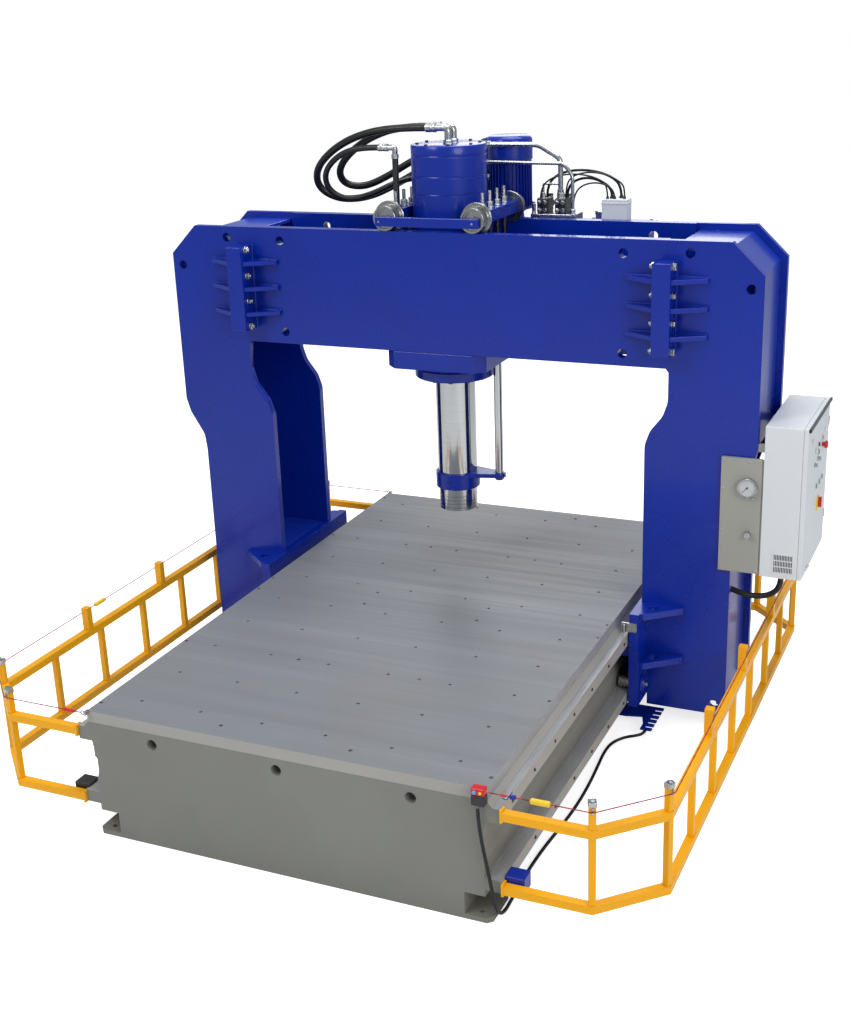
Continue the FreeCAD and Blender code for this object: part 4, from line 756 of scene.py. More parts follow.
eye = ringOf(0.0055, 0.002, (ropeSwitch["eyeX"], ropeSwitch["eyeY"], rope["height"]), (math.pi / 2, 0, 0),
    20, 8)
stem = turned(plainBar(0.004, 0.004, 0.0005), (ropeSwitch["stemX"], ropeSwitch["eyeY"], rope["height"]),
    "x", sides=16)
dressed([eye, stem], "switchEye", "zinc", "bed", "zinc")
print("rope switch done")

# ---- portal: beams, legs, webs
portal = {"middle": 0.68, "front": 0.375, "back": 0.985, "hole": 0.0243, "edge": 0.004, "webEdge": 0.003,
    "drillDepth": 0.08, "drillStart": {"front": 0.365, "back": 0.915},
    "beamHoles": [(0.962, 2.014), (0.962, 2.515)],
    "legHoles": [(1.593, 2.363), (1.295, 2.525), (1.481, 0.146)],
    "knees": {"at": [(1.2, 1.737), (1.084, 1.588), (1.543, 1.339), (1.656, 1.524)], "reach": 0.05,
    "offset": 0.018, "mode": "EDGE"}}


def plateHoles(places, face, sides=(1, -1)):
    start = portal["drillStart"][face]
    return [drill(portal["hole"], portal["drillDepth"], (side * x, start, z), "y", 28) for x, z in places
        for side in sides]


def onBothFaces(piece):
    # the piece at the front beam and its mirror image at the back beam
    return reflected(piece, "y", portal["middle"])


for face in ("front", "back"):
    beam = softened(face + "_beam", portal["edge"], cutters=plateHoles(portal["beamHoles"], face))
    dressed(beam, face + "Beam", "blue", "portal", "blue_paint", face + "_beam")
    for side, way in (("left", -1), ("right", 1)):
        name = "leg_%s_%s" % (face, side)
        # the knees of the front left leg are rounded along its outline too
        knees = dict(portal["knees"], mode="VERT") if name == "leg_front_left" else portal["knees"]
        leg = softened(name, portal["edge"], knees=knees,
            cutters=plateHoles(portal["legHoles"], face, (way,)))
        dressed(leg, "leg" + face.capitalize() + side.capitalize(), "blue", "portal", "blue_paint", name)
# the leg webs get the lighter copy of the gantry blue: painted light
dressed(softened("leg_webs", portal["webEdge"]), "legWebs", "litWebBlue", "portal", "blue_paint", "leg_webs")
dressed(softened("splice_flanges", portal["webEdge"]), "spliceFlanges", "blue", "portal", "blue_paint",
    "splice_flanges")

splice = {"x": 1.185, "flange": 0.046, "y": 0.307, "low": 2.053, "pitch": 0.13867, "count": 4,
    "across": 0.034, "head": 0.0135, "washer": 0.003,
    "end": [(0.0115, 0), (0.0115, 0.023), (0.0095, 0.025)]}
bolts = []
for i in range(splice["count"]):
    z = splice["low"] + splice["pitch"] * i
    for way, aim, twist in ((1, "x", 17 * i), (-1, "-x", 31 * i)):
        place = (splice["x"] + way * splice["flange"], splice["y"], z)
        bolts.append(hexHead(splice["across"], splice["head"], place, aim, splice["washer"], twist=twist))
    bolts.append(turned(splice["end"], place, "-x", sides=16))
dressed(reflected(onBothFaces(bolts)), "spliceBolts", "zinc", "portal", "zinc", "splice_bolts")

# weld beads where the flanges and their ribs meet the plates
weld = {"radius": 0.007, "ribRadius": 0.0049, "low": 2.031, "top": 2.491, "rib": 0.16, "ribHalf": 0.012,
    "step": 0.012, "waves": ((0.14, 520, 0), (0.05, 173, 1))}


def bead(start, end, radius):
    # a rippled run of weld between two points
    start, end = Vector(start), Vector(end)
    length = (end - start).length
    piece = primitive("cylinder", vertices=8, radius=radius, depth=length, end_fill_type="NGON")
    pickEdges(piece, lambda a, b: abs(a.z - b.z) > radius)
    with Editing(piece, None, "EDGE"):
        ops.mesh.subdivide(number_cuts=max(int(length / weld["step"]), 2))
    for point in piece.data.vertices:
        share = 1 + sum(height * math.sin(point.co.z * pace + shift)
            for height, pace, shift in weld["waves"])
        point.co.x *= share
        point.co.y *= share
    piece.matrix_world = Matrix.Translation((start + end) / 2) @ (end - start).to_track_quat("Z",
        "Y").to_matrix().to_4x4()
    return cleaned(settle(piece), 60)


beads = []
for way in (-1, 1):
    x = splice["x"] + way * splice["flange"]
    beads.append(bead((x, portal["front"], weld["low"]), (x, portal["front"], weld["top"]), weld["radius"]))
for i in range(splice["count"] - 1):
    for way in (1, -1):
        root = splice["x"] + way * splice["flange"]
        for edge in (-1, 1):
            z = splice["low"] + splice["pitch"] * (i + 0.5) + edge * weld["ribHalf"]
            beads.append(bead((root, portal["front"], z), (root + way * weld["rib"], portal["front"], z),
                weld["ribRadius"]))
dressed(reflected(onBothFaces(beads)), "spliceWelds", "blue", "portal", "blue_paint")
print("portal done")

# ---- shoes with their wheels
shoe = {"face": 1.12, "gusset": (1.168, 0.305), "gussetHole": 0.0253, "tops": (0.685, 0.404),
    "drillDepth": 0.055, "drillBelow": 0.045, "axle": (0.27, 0.26), "edge": 0.004, "capHalf": 0.055,
    "capX": (1.1195, 1.17), "capScrews": (4, 45, 0.0435), "capTop": (0.011, 0.02),
    "cap": [(0.049, 0), (0.05, 0.001), (0.05, 0.008), (0.046, 0.011), (0.04, 0.011), (0.038, 0.018),
    (0.036, 0.02), (0.017, 0.02)], "wheelX": 1.0,
    "wheel": [(0.012, 0.004), (0.022, 0.004), (0.025, 0), (0.033, 0), (0.035, 0.002), (0.035, 0.058),
    (0.033, 0.06), (0.018, 0.06), (0.018, 0.0697)]}


def bothEnds(y):
    return y, 2 * portal["middle"] - y


gussetHoles = [drill(shoe["gussetHole"], shoe["drillDepth"],
    (way * shoe["gusset"][0], y, top - shoe["drillBelow"]), "z", 28) for top in shoe["tops"]
    for way in (1, -1) for y in bothEnds(shoe["gusset"][1])]
shoes = softened("shoes", shoe["edge"], cutters=gussetHoles)
axleY, axleZ = shoe["axle"]
reach = shoe["capHalf"]
for way in (1, -1):
    for y in bothEnds(axleY):
        low, high = sorted(way * x for x in shoe["capX"])
        without(shoes, (low, y - reach, axleZ - reach), (high, y + reach, axleZ + reach))
dressed(shoes, "shoes", "blue", "portal", "blue_paint", "shoes")
screwStart, nutStart = shoe["capTop"]
cap = turned(shoe["cap"], (shoe["face"], axleY, axleZ), "x", sides=40)
nut = hexHead(0.024, 0.01, (shoe["face"] + nutStart, axleY, axleZ), "x", 0.002, twist=12)
capRing = [socketScrew(0.004, 0.004, (shoe["face"] + screwStart, axleY + dy, axleZ + dz), "x", 12)
    for dy, dz in around(*shoe["capScrews"])]
bearing = [inFinish("blue", cap), inFinish("zinc", nut), inFinish("darkSteel", *capRing)]
dressed(reflected(onBothFaces(bearing)), "axleCaps", None, "portal", "blue_paint")
for side, y in zip(("front", "back"), bothEnds(axleY)):
    wheel = turned(shoe["wheel"], (shoe["wheelX"], y, axleZ), "x", sides=48)
    dressed(reflected(wheel), side + "Wheels", "steel", side + "_wheel_pair", "machined_steel",
        side + "_wheels")

travelSensor = {"edge": 0.0015, "barrelAt": (1.0475, 0.171, 0.588), "barrelLow": (0.9, 0.17, 0.55),
    "barrelHigh": (1.2, 0.1799, 0.66), "barrel": [(0.0062, 0), (0.0085, 0.002), (0.0085, 0.008),
    (0.0078, 0.009), (0.0085, 0.01), (0.0085, 0.04), (0.0065, 0.041), (0.0065, 0.048), (0.005, 0.05)]}
bracket = without(softened("travel_sensor", travelSensor["edge"]), travelSensor["barrelLow"],
    travelSensor["barrelHigh"])
dressed(bracket, "sensorBracket", "zinc", "portal", "zinc", "travel_sensor")
sensorBarrel = turned(travelSensor["barrel"], travelSensor["barrelAt"], "z", sides=24)
dressed(sensorBarrel, "sensorBarrel", "dark", "portal", "dark_plastic")
print("shoes done")

# ---- carriage
carriage = {"x": -0.08, "rollers": (-0.326, 0.166), "rollerZ": 2.65, "start": 0.3733, "edge": 0.003,
    "pinHoles": ((0.3725, 0.452), (0.908, 0.9875)),
    "roller": [(0.026, 0.0095), (0.04, 0.0095), (0.042, 0.004), (0.05, 0.004), (0.052, 0.0), (0.063, 0.0),
    (0.065, 0.002), (0.065, 0.06), (0.064, 0.0617), (0.082, 0.0625), (0.085, 0.0655), (0.085, 0.0745),
    (0.083, 0.0777), (0.028, 0.0777)], "pin": [(0.0245, -0.0005), (0.0245, 0.08)], "pinHalf": 0.03,
    "barScrews": (-0.348, 0.176), "barScrewAt": (0.35, 2.6375)}
carriageFrame = softened("carriage_frame", carriage["edge"])
for x in carriage["rollers"]:
    for low, high in carriage["pinHoles"]:
        reach, z = carriage["pinHalf"], carriage["rollerZ"]
        without(carriageFrame, (x - reach, low, z - reach), (x + reach, high, z + reach))
dressed(carriageFrame, "carriageFrame", "blue", "carriage", "blue_paint", "carriage_frame")
pins = [turned(carriage["pin"], (x, carriage["start"], carriage["rollerZ"]), "y", sides=32)
    for x in carriage["rollers"]]
dressed(onBothFaces(pins), "rollerPins", "steel", "carriage", "zinc")
barScrews = [socketScrew(0.006, 0.004, (x, *carriage["barScrewAt"]), "-y", 14)
    for x in carriage["barScrews"]]
dressed(onBothFaces(barScrews), "barScrews", "zinc", "carriage", "zinc")
for side, x in zip(("left", "right"), carriage["rollers"]):
    roller = turned(carriage["roller"], (x, carriage["start"], carriage["rollerZ"]), "y", sides=64)
    dressed(onBothFaces(roller), side + "Rollers", "steel", side + "_rollers", "machined_steel",
        "rollers_" + side)

# the studs that hang the thrust block from the arms
stud = {"pitch": 0.102, "perArm": 4, "armTop": 2.685, "blockTop": 1.948, "armLow": 2.62, "radius": 0.01,
    "sleeve": 0.014, "across": 0.034, "nut": 0.028, "washer": 0.004, "end": 0.087, "turns": 14,
    "threaded": 0.053, "thread": [(0, 0), (-0.0011, 0.0012), (0, 0.0024)], "darkBelow": 2.61}
thread = []
for i in range(stud["turns"]):
    z = stud["nut"] + stud["washer"] + stud["threaded"] * i / stud["turns"]
    thread += [(stud["radius"] + dr, z + dz) for dr, dz in stud["thread"]]
thread.append((stud["radius"] - 0.002, stud["end"]))
oneStud = joined([turned(thread, (0, 0, stud["armTop"]), "z", sides=16),
    hexHead(stud["across"], stud["nut"], (0, 0, stud["armTop"]), "z", stud["washer"]),
    turned(plainBar(stud["sleeve"], stud["armLow"] - stud["blockTop"]), (0, 0, stud["blockTop"]), "z",
    sides=20)])
studs = copied(oneStud, [(x, portal["middle"] + stud["pitch"] * (i - 1.5), 0) for x in carriage["rollers"]
    for i in range(stud["perArm"])])
dressed(studs, "suspensionStuds", "zinc", "carriage", "zinc", "suspension_studs")
twoTone(studs, "darkSteel", lambda c, n: c.z < stud["darkBelow"])

# thrust block with the gland ring under it
thrust = {"half": 0.285, "low": 1.85, "top": 1.948, "chamfer": 0.06, "edge": 0.004, "bore": 0.1105,
    "guide": (0.172, 0.68), "guideBore": 0.0236, "through": (1.8, 0.2), "glandLow": 1.763,
    "glandThrough": (1.7, 0.2), "glandScrews": (12, 15, 0.18), "glandScrew": (0.013, 0.01),
    "gland": [(0.15, 0), (0.213, 0.0), (0.22, 0.007), (0.22, 0.05), (0.212, 0.058), (0.212, 0.087)]}
middle = (carriage["x"], portal["middle"])
plate = primitive("cube", size=1, location=(*middle, (thrust["low"] + thrust["top"]) / 2))
plate.scale = (thrust["half"] * 2, portal["back"] - portal["front"], thrust["top"] - thrust["low"])
pickEdges(settle(plate), lambda a, b: abs(a.z - b.z) > 0.05)
with Editing(plate, None, "EDGE"):
    ops.mesh.bevel(offset=thrust["chamfer"], segments=1, affect="EDGES")
start, depth = thrust["through"]
bored(cleaned(plate), [drill(thrust["bore"], depth, (*middle, start), "z", 64),
    drill(thrust["guideBore"], depth, (*thrust["guide"], start))])
bevelled(plate, thrust["edge"], 2, 30)
start, depth = thrust["glandThrough"]
gland = bored(turned(thrust["gland"], (*middle, thrust["glandLow"]), "z", sides=96),
    [drill(thrust["bore"], depth, (*middle, start), "z", 64)])
dressed([plate, gland], "thrustBlock", "blue", "carriage", "blue_paint", "thrust_block")


def screwRing(circle, screw, z, aim):
    # a circle of screws around the middle of the cylinder
    return [socketScrew(*screw, (middle[0] + dx, middle[1] + dy, z), aim, 18) for dx, dy in around(*circle)]


dressed(screwRing(thrust["glandScrews"], thrust["glandScrew"], thrust["glandLow"], "-z"), "glandScrews",
    "darkSteel", "carriage", "zinc")

# cylinder with the welded seams between its rings
barrel = {"radius": 0.2, "low": 1.948, "top": 3.005, "seams": (2.757, 2.848, 2.952),
    "seam": [(0, -0.006), (-0.0015, -0.004), (-0.0008, -0.002), (0, 0), (-0.0008, 0.002), (-0.0015, 0.004),
    (0, 0.006)], "foot": [(0.15, 0), (0.197, 0), (0.2, 0.003)],
    "rim": [(0.2, -0.006), (0.197, -0.0015), (0.193, 0)], "screws": (8, 22.5, 0.165),
    "screw": (0.009, 0.008)}
height = barrel["top"] - barrel["low"]
outline = barrel["foot"] + [(barrel["radius"] + dr, z - barrel["low"] + dz) for z in barrel["seams"]
    for dr, dz in barrel["seam"]]
outline += [(radius, height + dz) for radius, dz in barrel["rim"]]
cylinder = turned(outline, (*middle, barrel["low"]), "z", sides=128)
dressed(cylinder, "cylinderBarrel", "blue", "carriage", "blue_paint", "cylinder_barrel")
dressed(screwRing(barrel["screws"], barrel["screw"], barrel["top"], "z"), "capScrews", "darkSteel",
    "carriage", "zinc")
print("carriage done")

# ---- fittings and pipes
fitting = {"portX": -0.066, "ports": (0.645, 0.715), "heights": (3.005, 3.035, 3.087),
    "bendX": (-0.118, -0.135), "ferruleX": -0.13, "elbow": 0.019, "sideElbow": 0.015,
    "sideNut": (-0.345, 0.58, 2.936), "sideEnd": (-0.381, 0.58, 2.99), "standAt": (-0.345, 0.58, 2.685),
    "ferrule": [(0.019, 0), (0.0245, 0.003), (0.0245, 0.016), (0.02, 0.018), (0.0235, 0.022),
    (0.0235, 0.03), (0.0215, 0.032), (0.0245, 0.034), (0.0245, 0.042), (0.0215, 0.044), (0.0245, 0.046),
    (0.0245, 0.057), (0.022, 0.06)], "sideRun": [(-0.345, 0.58, 2.95), (-0.345, 0.58, 2.966),
    (-0.345, 0.58, 2.99), (-0.369, 0.58, 2.99), (-0.383, 0.58, 2.99)],
    "sideFerrule": [(0.015, 0), (0.0195, 0.003), (0.0195, 0.018), (0.016, 0.02), (0.019, 0.024),
    (0.019, 0.034), (0.017, 0.036), (0.0195, 0.04), (0.0195, 0.056), (0.0175, 0.06)],
    "stand": [(0.0165, 0), (0.0165, 0.252), (0.014, 0.253)]}
made = []
for y in fitting["ports"]:
    top = fitting["heights"][-1]
    run = [(fitting["portX"], y, z) for z in fitting["heights"]] + [(x, y, top) for x in fitting["bendX"]]
    made += [pipeRun(run, fitting["elbow"]), hexHead(0.046, 0.018, run[0], "z", 0.003),
        turned(fitting["ferrule"], (fitting["ferruleX"], y, top), "-x", sides=32)]
made += [pipeRun(fitting["sideRun"], fitting["sideElbow"]),
    hexHead(0.034, 0.02, fitting["sideNut"], "z", 0.002),
    turned(fitting["sideFerrule"], fitting["sideEnd"], "-x", sides=28)]
dressed(made, "hoseFittings", "zinc", "carriage", "zinc", "hose_fittings")
dressed(turned(fitting["stand"], fitting["standAt"], "z", sides=28), "standPipe", "dark", "carriage",
    "zinc")

pipes = {"highRadius": 0.014, "lowRadius": 0.01, "collar": [(0.018, 0), (0.018, 0.016), (0.014, 0.018)],
    "collarAt": (0.41, 1.055, 2.712), "high": [(-0.018, 1.055, 2.962), (0.223, 1.055, 2.962),
    (0.283, 1.055, 2.962), (0.335, 1.055, 2.932), (0.358, 1.055, 2.919), (0.41, 1.055, 2.889),
    (0.41, 1.055, 2.83), (0.41, 1.055, 2.68)], "low": [(-0.018, 1.026, 2.872), (0.385, 1.026, 2.868),
    (0.435, 1.026, 2.868), (0.487, 1.026, 2.807), (0.487, 1.026, 2.757), (0.487, 1.026, 2.6)],
    "plate": ((-0.03, 1.014, 2.53), (-0.018, 1.082, 3.0)),
    "nuts": [(0.036, 0.026, (-0.018, 1.055, 2.962), "x", 0.002),
    (0.028, 0.022, (-0.018, 1.026, 2.872), "x", 0.002), (0.034, 0.024, (-0.018, 1.04, 2.79), "x", 0.002),
    (0.036, 0.03, (0.41, 1.055, 2.68), "z", 0.004), (0.028, 0.026, (0.487, 1.026, 2.6), "z", 0.003)]}
made = [pipeRun(pipes["high"], pipes["highRadius"]), pipeRun(pipes["low"], pipes["lowRadius"]),
    block(*pipes["plate"], 0.003)]
made += [hexHead(*nut) for nut in pipes["nuts"]]
made.append(turned(pipes["collar"], pipes["collarAt"], "z", sides=24))
dressed(made, "rigidPipes", "zinc", "portal", "zinc", "rigid_pipes")
print("pipes done")

# ---- hydraulic panel with the gauge and the pressure knob
panel = {"low": (1.484, 0.35, 0.927), "high": (1.686, 0.375, 1.53), "sheet": 0.003,
    "screws": [(1.496, 1.516), (1.626, 1.516), (1.496, 1.37), (1.496, 1.15), (1.496, 0.941),
    (1.674, 0.941)], "flange": ((1.685, 0.358, 0.93), (1.6925, 0.3745, 1.527)),
    "plugs": [(1.617, 1.329), (1.648, 1.328)], "plug": [(0.0075, 0), (0.0075, 0.004), (0.005, 0.007)]}
sheet, panelFront = panel["sheet"], panel["low"][1]
tray = block(panel["low"], panel["high"], 0.003)
hollow = block([v + sheet for v in panel["low"]],
    (panel["high"][0] - sheet, panel["high"][1] + 0.02, panel["high"][2] - sheet), 0.001, 1)
dressed(bored(tray, [hollow]), "hydraulicPanel", "beige", "portal", "beige_paint", "hydraulic_panel")
dressed(block(*panel["flange"], 0.001, 1), "panelFlange", "beige", "portal", "beige_paint")
dressed([socketScrew(0.006, 0.003, (x, panelFront, z), "-y", 16) for x, z in panel["screws"]],
    "panelScrews", "zinc", "portal", "zinc")

gauge = {"x": 1.621, "z": 1.386, "marks": 41, "sweep": 270, "markReach": 0.0405, "markLong": 0.0062,
    "markShort": 0.0034, "markHalf": (0.00045, 0.0002), "markY": 0.3266, "needleAngle": -135.8,
    "needle": ((-0.0014, -0.001, -0.008), (0.0014, 0.001, 0.033)), "needleY": 0.3255, "dialY": 0.3272,
    "hubY": 0.3262, "case": [(0.046, 0), (0.048, 0.001), (0.048, 0.021), (0.05, 0.022), (0.05, 0.028),
    (0.0485, 0.03), (0.0455, 0.0295), (0.0445, 0.023)], "dial": [(0.0435, 0), (0.0438, 0.0006)],
    "hub": [(0.0045, 0), (0.0045, 0.002), (0.003, 0.0028)]}


def onDial(piece, angle, y):
    piece.rotation_euler = (0, math.radians(angle), 0)
    piece.location = (gauge["x"], y, gauge["z"])
    return settle(piece)


def gaugePart(outline, y, sides):
    return turned(outline, (gauge["x"], y, gauge["z"]), "-y", sides=sides)


face = [inFinish("zinc", gaugePart(gauge["case"], panelFront, 72)),
    inFinish("lampRing", gaugePart(gauge["dial"], gauge["dialY"], 64))]
marks = []
for i in range(gauge["marks"]):
    length = gauge["markShort"] if i % 5 else gauge["markLong"]
    halfX, halfY = gauge["markHalf"]
    mark = block((-halfX, -halfY, gauge["markReach"] - length), (halfX, halfY, gauge["markReach"]), 0.0001,
        1)
    marks.append(onDial(mark, gauge["sweep"] * (i / (gauge["marks"] - 1) - 0.5), gauge["markY"]))
dressed(face + [inFinish("dark", *marks)], "gaugeCase", None, "portal", "zinc", "gauge_case")
needle = block(*gauge["needle"], 0.0004, 1)
for vertex in needle.data.vertices:
    if vertex.co.z > 0.02:
        vertex.co.x *= 0.25
onDial(needle, gauge["needleAngle"], gauge["needleY"])
dressed([needle, gaugePart(gauge["hub"], gauge["hubY"], 20)], "gaugePointer", "dark", "pointer",
    "dark_plastic", "gauge_pointer")
dressed([turned(panel["plug"], (x, panelFront, z), "-y", sides=20) for x, z in panel["plugs"]],
    "panelPlugs", "zinc", "portal", "zinc")

knob = {"x": 1.631, "z": 1.139, "y": 0.3497, "grooves": 18, "groove": (0.0011, 0.026), "grooveY": 0.3418,
    "groovesOut": 0.0179, "outline": [(0.0175, 0), (0.0175, 0.005), (0.0155, 0.007), (0.0175, 0.009),
    (0.0175, 0.028), (0.0155, 0.032)]}
grooves = [drill(*knob["groove"], (knob["x"] + dx, knob["grooveY"], knob["z"] + dz), "-y", 8)
    for dx, dz in around(knob["grooves"], 0, knob["groovesOut"])]
pressureKnob = bored(turned(knob["outline"], (knob["x"], knob["y"], knob["z"]), "-y", sides=36), grooves)
dressed(pressureKnob, "pressureKnob", "zinc", "knob", "zinc", "pressure_knob")
print("panel done")

# ---- control cabinet
cabinet = {"low": (1.694, 0.347, 0.919), "high": (1.88, 0.976, 1.705), "sheet": 0.003,
    "inside": ((1.697, 0.407, 0.979), (1.719, 0.916, 1.645)), "brackets": [(1.56, 1.656), (0.96, 1.543)],
    "bracketY": (0.38, 0.95), "bracket": (0.03, 0.04), "grille": (1.755, 0.948, 1.865, 1.053),
    "grilleY": (0.3445, 0.3478), "shadedSlots": (12, 3), "shadedSlotY": (0.3441, 0.3452), "shadedSlotHeight": 0.027,
    "shadedSlotShare": 0.3, "beigeBelow": 1.6935, "cable": (1.79, 0.44),
    "gland": [(0.0185, 0), (0.0185, 0.01), (0.0155, 0.016)]}
sheet = cabinet["sheet"]
hollow = block([v + sheet for v in cabinet["low"]],
    (cabinet["high"][0] + 0.05, cabinet["high"][1] - sheet, cabinet["high"][2] - sheet), 0.001, 1)
parts = [bored(block(cabinet["low"], cabinet["high"], 0.004), [hollow]),
    block(*cabinet["inside"], 0.002, 1)]
for low, inner in cabinet["brackets"]:
    for start in cabinet["bracketY"]:
        parts.append(block((inner, start, low), (cabinet["low"][0], start + cabinet["bracket"][0],
            low + cabinet["bracket"][1]), 0.003))
twoTone(dressed(parts, "cabinetShell", "cabinet", "portal", "cabinet_paint", "cabinet_shell"), "beige",
    lambda c, n: c.x < cabinet["beigeBelow"])
# the slots of the grille are dark plastic patches on its face: painted shade in the openings
left, low, right, high = cabinet["grille"]
columns, rows = cabinet["shadedSlots"]
pitch = (right - left - 0.016) / columns
reach = pitch * cabinet["shadedSlotShare"]
outer, inner = cabinet["shadedSlotY"]
shadedSlots = []
for row in range(rows):
    z = low + 0.006 + (high - low - 0.008) * row / rows
    for i in range(columns):
        x = left + 0.008 + pitch * (i + 0.5)
        shadedSlots.append(block((x - reach, outer, z), (x + reach, inner, z + cabinet["shadedSlotHeight"]), 0.0004, 1))
grille = [inFinish("cabinet", block((left, cabinet["grilleY"][0], low),
    (right, cabinet["grilleY"][1], high), 0.0012)), inFinish("dark", *shadedSlots)]
dressed(grille, "cabinetGrille", None, "portal", "cabinet_paint")
cabinetGland = [hexHead(0.04, 0.014, (*cabinet["cable"], 0.919), "-z", 0.003),
    turned(cabinet["gland"], (*cabinet["cable"], 0.902), "-z", 28)]
dressed(cabinetGland, "cabinetGland", "zinc", "portal", "zinc")

door = {"low": (1.8803, 0.347, 0.919), "high": (1.9033, 0.976, 1.705),
    "lamps": [(0.842, 1.57, "white"), (0.769, 1.549, "amber"), (0.474, 1.608, "white"),
    (0.653, 1.545, "dark")], "buttons": [("buttonWhite", 0.582, 1.531, "white", "white_button",
    "button_white"), ("buttonUpper", 0.655, 1.505, "green", "upper_green_button", "button_green_upper"),
    ("buttonBack", 0.806, 1.327, "green", "back_green_button", "button_green_back"),
    ("buttonMiddle", 0.728, 1.324, "green", "middle_green_button", "button_green_middle"),
    ("buttonFront", 0.641, 1.327, "green", "front_green_button", "button_green_front")],
    "stop": (0.784, 1.507), "keys": [("keyBack", 0.66, 1.468, "back_key", "key_switch_back"),
    ("keyFront", 0.568, 1.459, "front_key", "key_switch_front")], "main": (0.727, 1.21),
    "plate": ((1.9033, -0.033, -0.033), (1.9093, 0.033, 0.033)),
    "strip": ((1.9023, 0.347, 1.689), (1.914, 0.976, 1.705)),
    "stripEnd": ((1.9023, 0, 1.688), (1.9145, 0.01, 1.7055)),
    "grip": ((1.912, -0.0012, -0.0105), (1.9196, 0.0012, 0.0105)),
    "lever": ((1.91, -0.007, -0.022), (1.9256, 0.007, 0.032)),
    "lockLever": ((1.906, -0.005, -0.006), (1.914, 0.06, 0.006)), "lock": (0.46, 0.941),
    "hinges": [(0.972, 1.05), (0.972, 1.56)], "hinge": (0.0055, 0.046, 0.0008), "hingeX": 1.9005,
    "buttonX": 1.8992, "keyX": 1.9036, "handleX": 1.9096, "stripEnds": (0.347, 0.966), "pocket": 0.0124,
    "collar": [(0.013, 0), (0.0135, 0.0008), (0.0135, 0.0032), (0.0115, 0.004)],
    "lens": [(0.0105, 0), (0.0108, 0.005), (0.0095, 0.0078), (0.006, 0.009)],
    "ring": [(0.0155, 0), (0.016, 0.001), (0.016, 0.0042), (0.0148, 0.0052), (0.0128, 0.0052),
    (0.0126, 0.0006)], "button": [(0.0115, 0), (0.012, 0.0008), (0.012, 0.01), (0.0108, 0.0116),
    (0.008, 0.012)], "mushroom": [(0.0115, 0), (0.012, 0.0008), (0.012, 0.0165), (0.0185, 0.0172),
    (0.02, 0.02), (0.02, 0.0255), (0.019, 0.029), (0.0165, 0.0318), (0.012, 0.033)],
    "key": [(0.0122, 0), (0.013, 0.0008), (0.013, 0.005), (0.0115, 0.006), (0.0105, 0.0062),
    (0.0105, 0.0085), (0.0095, 0.0095)], "handle": [(0.023, 0), (0.024, 0.001), (0.024, 0.006),
    (0.022, 0.008)], "lockHub": [(0.0065, 0), (0.007, 0.0008), (0.007, 0.0095), (0.006, 0.0105)]}
doorFace = door["high"][0]
buttonPlaces = [button[1:3] for button in door["buttons"]]
pockets = [drill(door["pocket"], 0.03, (1.8943, y, z), "x") for y, z in buttonPlaces + [door["stop"]]]
parts = [inFinish("cabinet", bored(block(door["low"], door["high"], 0.004, 3), pockets)),
    inFinish("darkGrey", block(*door["strip"]))]
parts += [inFinish("dark", blockAt((0, y, 0), door["stripEnd"], 0.001, 1)) for y in door["stripEnds"]]
for y, z, colour in door["lamps"]:
    parts.append(inFinish("lampRing", turned(door["collar"], (doorFace, y, z), "x", 32)))
    parts.append(inFinish(colour, turned(door["lens"], (doorFace + 0.0001, y, z), "x", 32)))
for y, z in buttonPlaces:
    ring = bored(turned(door["ring"], (doorFace, y, z), "x", 40),
        [drill(0.01245, 0.02, (1.895, y, z), "x")])
    parts.append(inFinish("lampRing", ring))
y, z = door["main"]
parts.append(inFinish("yellowPlastic", blockAt((0, y, z), door["plate"], 0.0015)))
parts.append(inFinish("greyPlastic", *[turned(plainBar(*door["hinge"]), (door["hingeX"], *place), "z", 20)
    for place in door["hinges"]]))
dressed(parts, "cabinetDoor", None, "door", "cabinet_paint", "cabinet_door")
for name, y, z, colour, body, replaced in door["buttons"]:
    button = turned(door["button"], (door["buttonX"], y, z), "x", 36)
    dressed(button, name, colour, body, colour + "_plastic", replaced)
stop = turned(door["mushroom"], (door["buttonX"], *door["stop"]), "x", 44)
dressed(stop, "emergencyStop", "red", "stop_button", "red_plastic", "emergency_stop")
for name, y, z, body, replaced in door["keys"]:
    key = [turned(door["key"], (door["keyX"], y, z), "x", 36), blockAt((0, y, z), door["grip"], 0.0005, 1)]
    dressed(key, name, "zinc", body, "zinc", replaced)
y, z = door["main"]
handle = [turned(door["handle"], (door["handleX"], y, z), "x", 44),
    blockAt((0, y, z), door["lever"], 0.003, 3)]
dressed(handle, "mainSwitch", "red", "mains_handle", "red_plastic", "main_switch")
y, z = door["lock"]
lock = [turned(door["lockHub"], (door["keyX"], y, z), "x", 28),
    blockAt((0, y, z), door["lockLever"], 0.0025, 3)]
dressed(lock, "doorLock", "white", "lock", "white_plastic", "door_lock")
print("cabinet done")

# ---- power pack behind the portal
tank = {"left": -0.35, "right": 0.85, "front": 1.01, "back": 1.36, "low": 1.85, "top": 2.52, "lid": 2.53,
    "lip": 0.015, "rail": 0.06, "railLeft": (-0.23, 0.67), "railY": (0.985, 1.0105), "railZ": (1.99, 2.48),
    "screws": 8, "screwIn": 0.02, "screwOut": 0.004, "fillerAt": (0.57, 1.27), "drainAt": (0.72, 1.36, 1.9),
    "sightScrews": (2.115, 2.345), "filler": [(0.034, 0), (0.034, 0.012), (0.03, 0.014), (0.03, 0.04),
    (0.033, 0.042), (0.033, 0.056), (0.029, 0.06)],
    "drain": [(0.012, 0), (0.016, 0.002), (0.016, 0.018), (0.013, 0.02)],
    "sight": ((0.64, 1.3595, 2.1), (0.668, 1.37, 2.36)),
    "bell": [(0.0885, 0), (0.09, 0.002), (0.09, 0.012), (0.08, 0.015), (0.076, 0.052), (0.086, 0.058),
    (0.09, 0.06), (0.09, 0.068), (0.0885, 0.07)]}
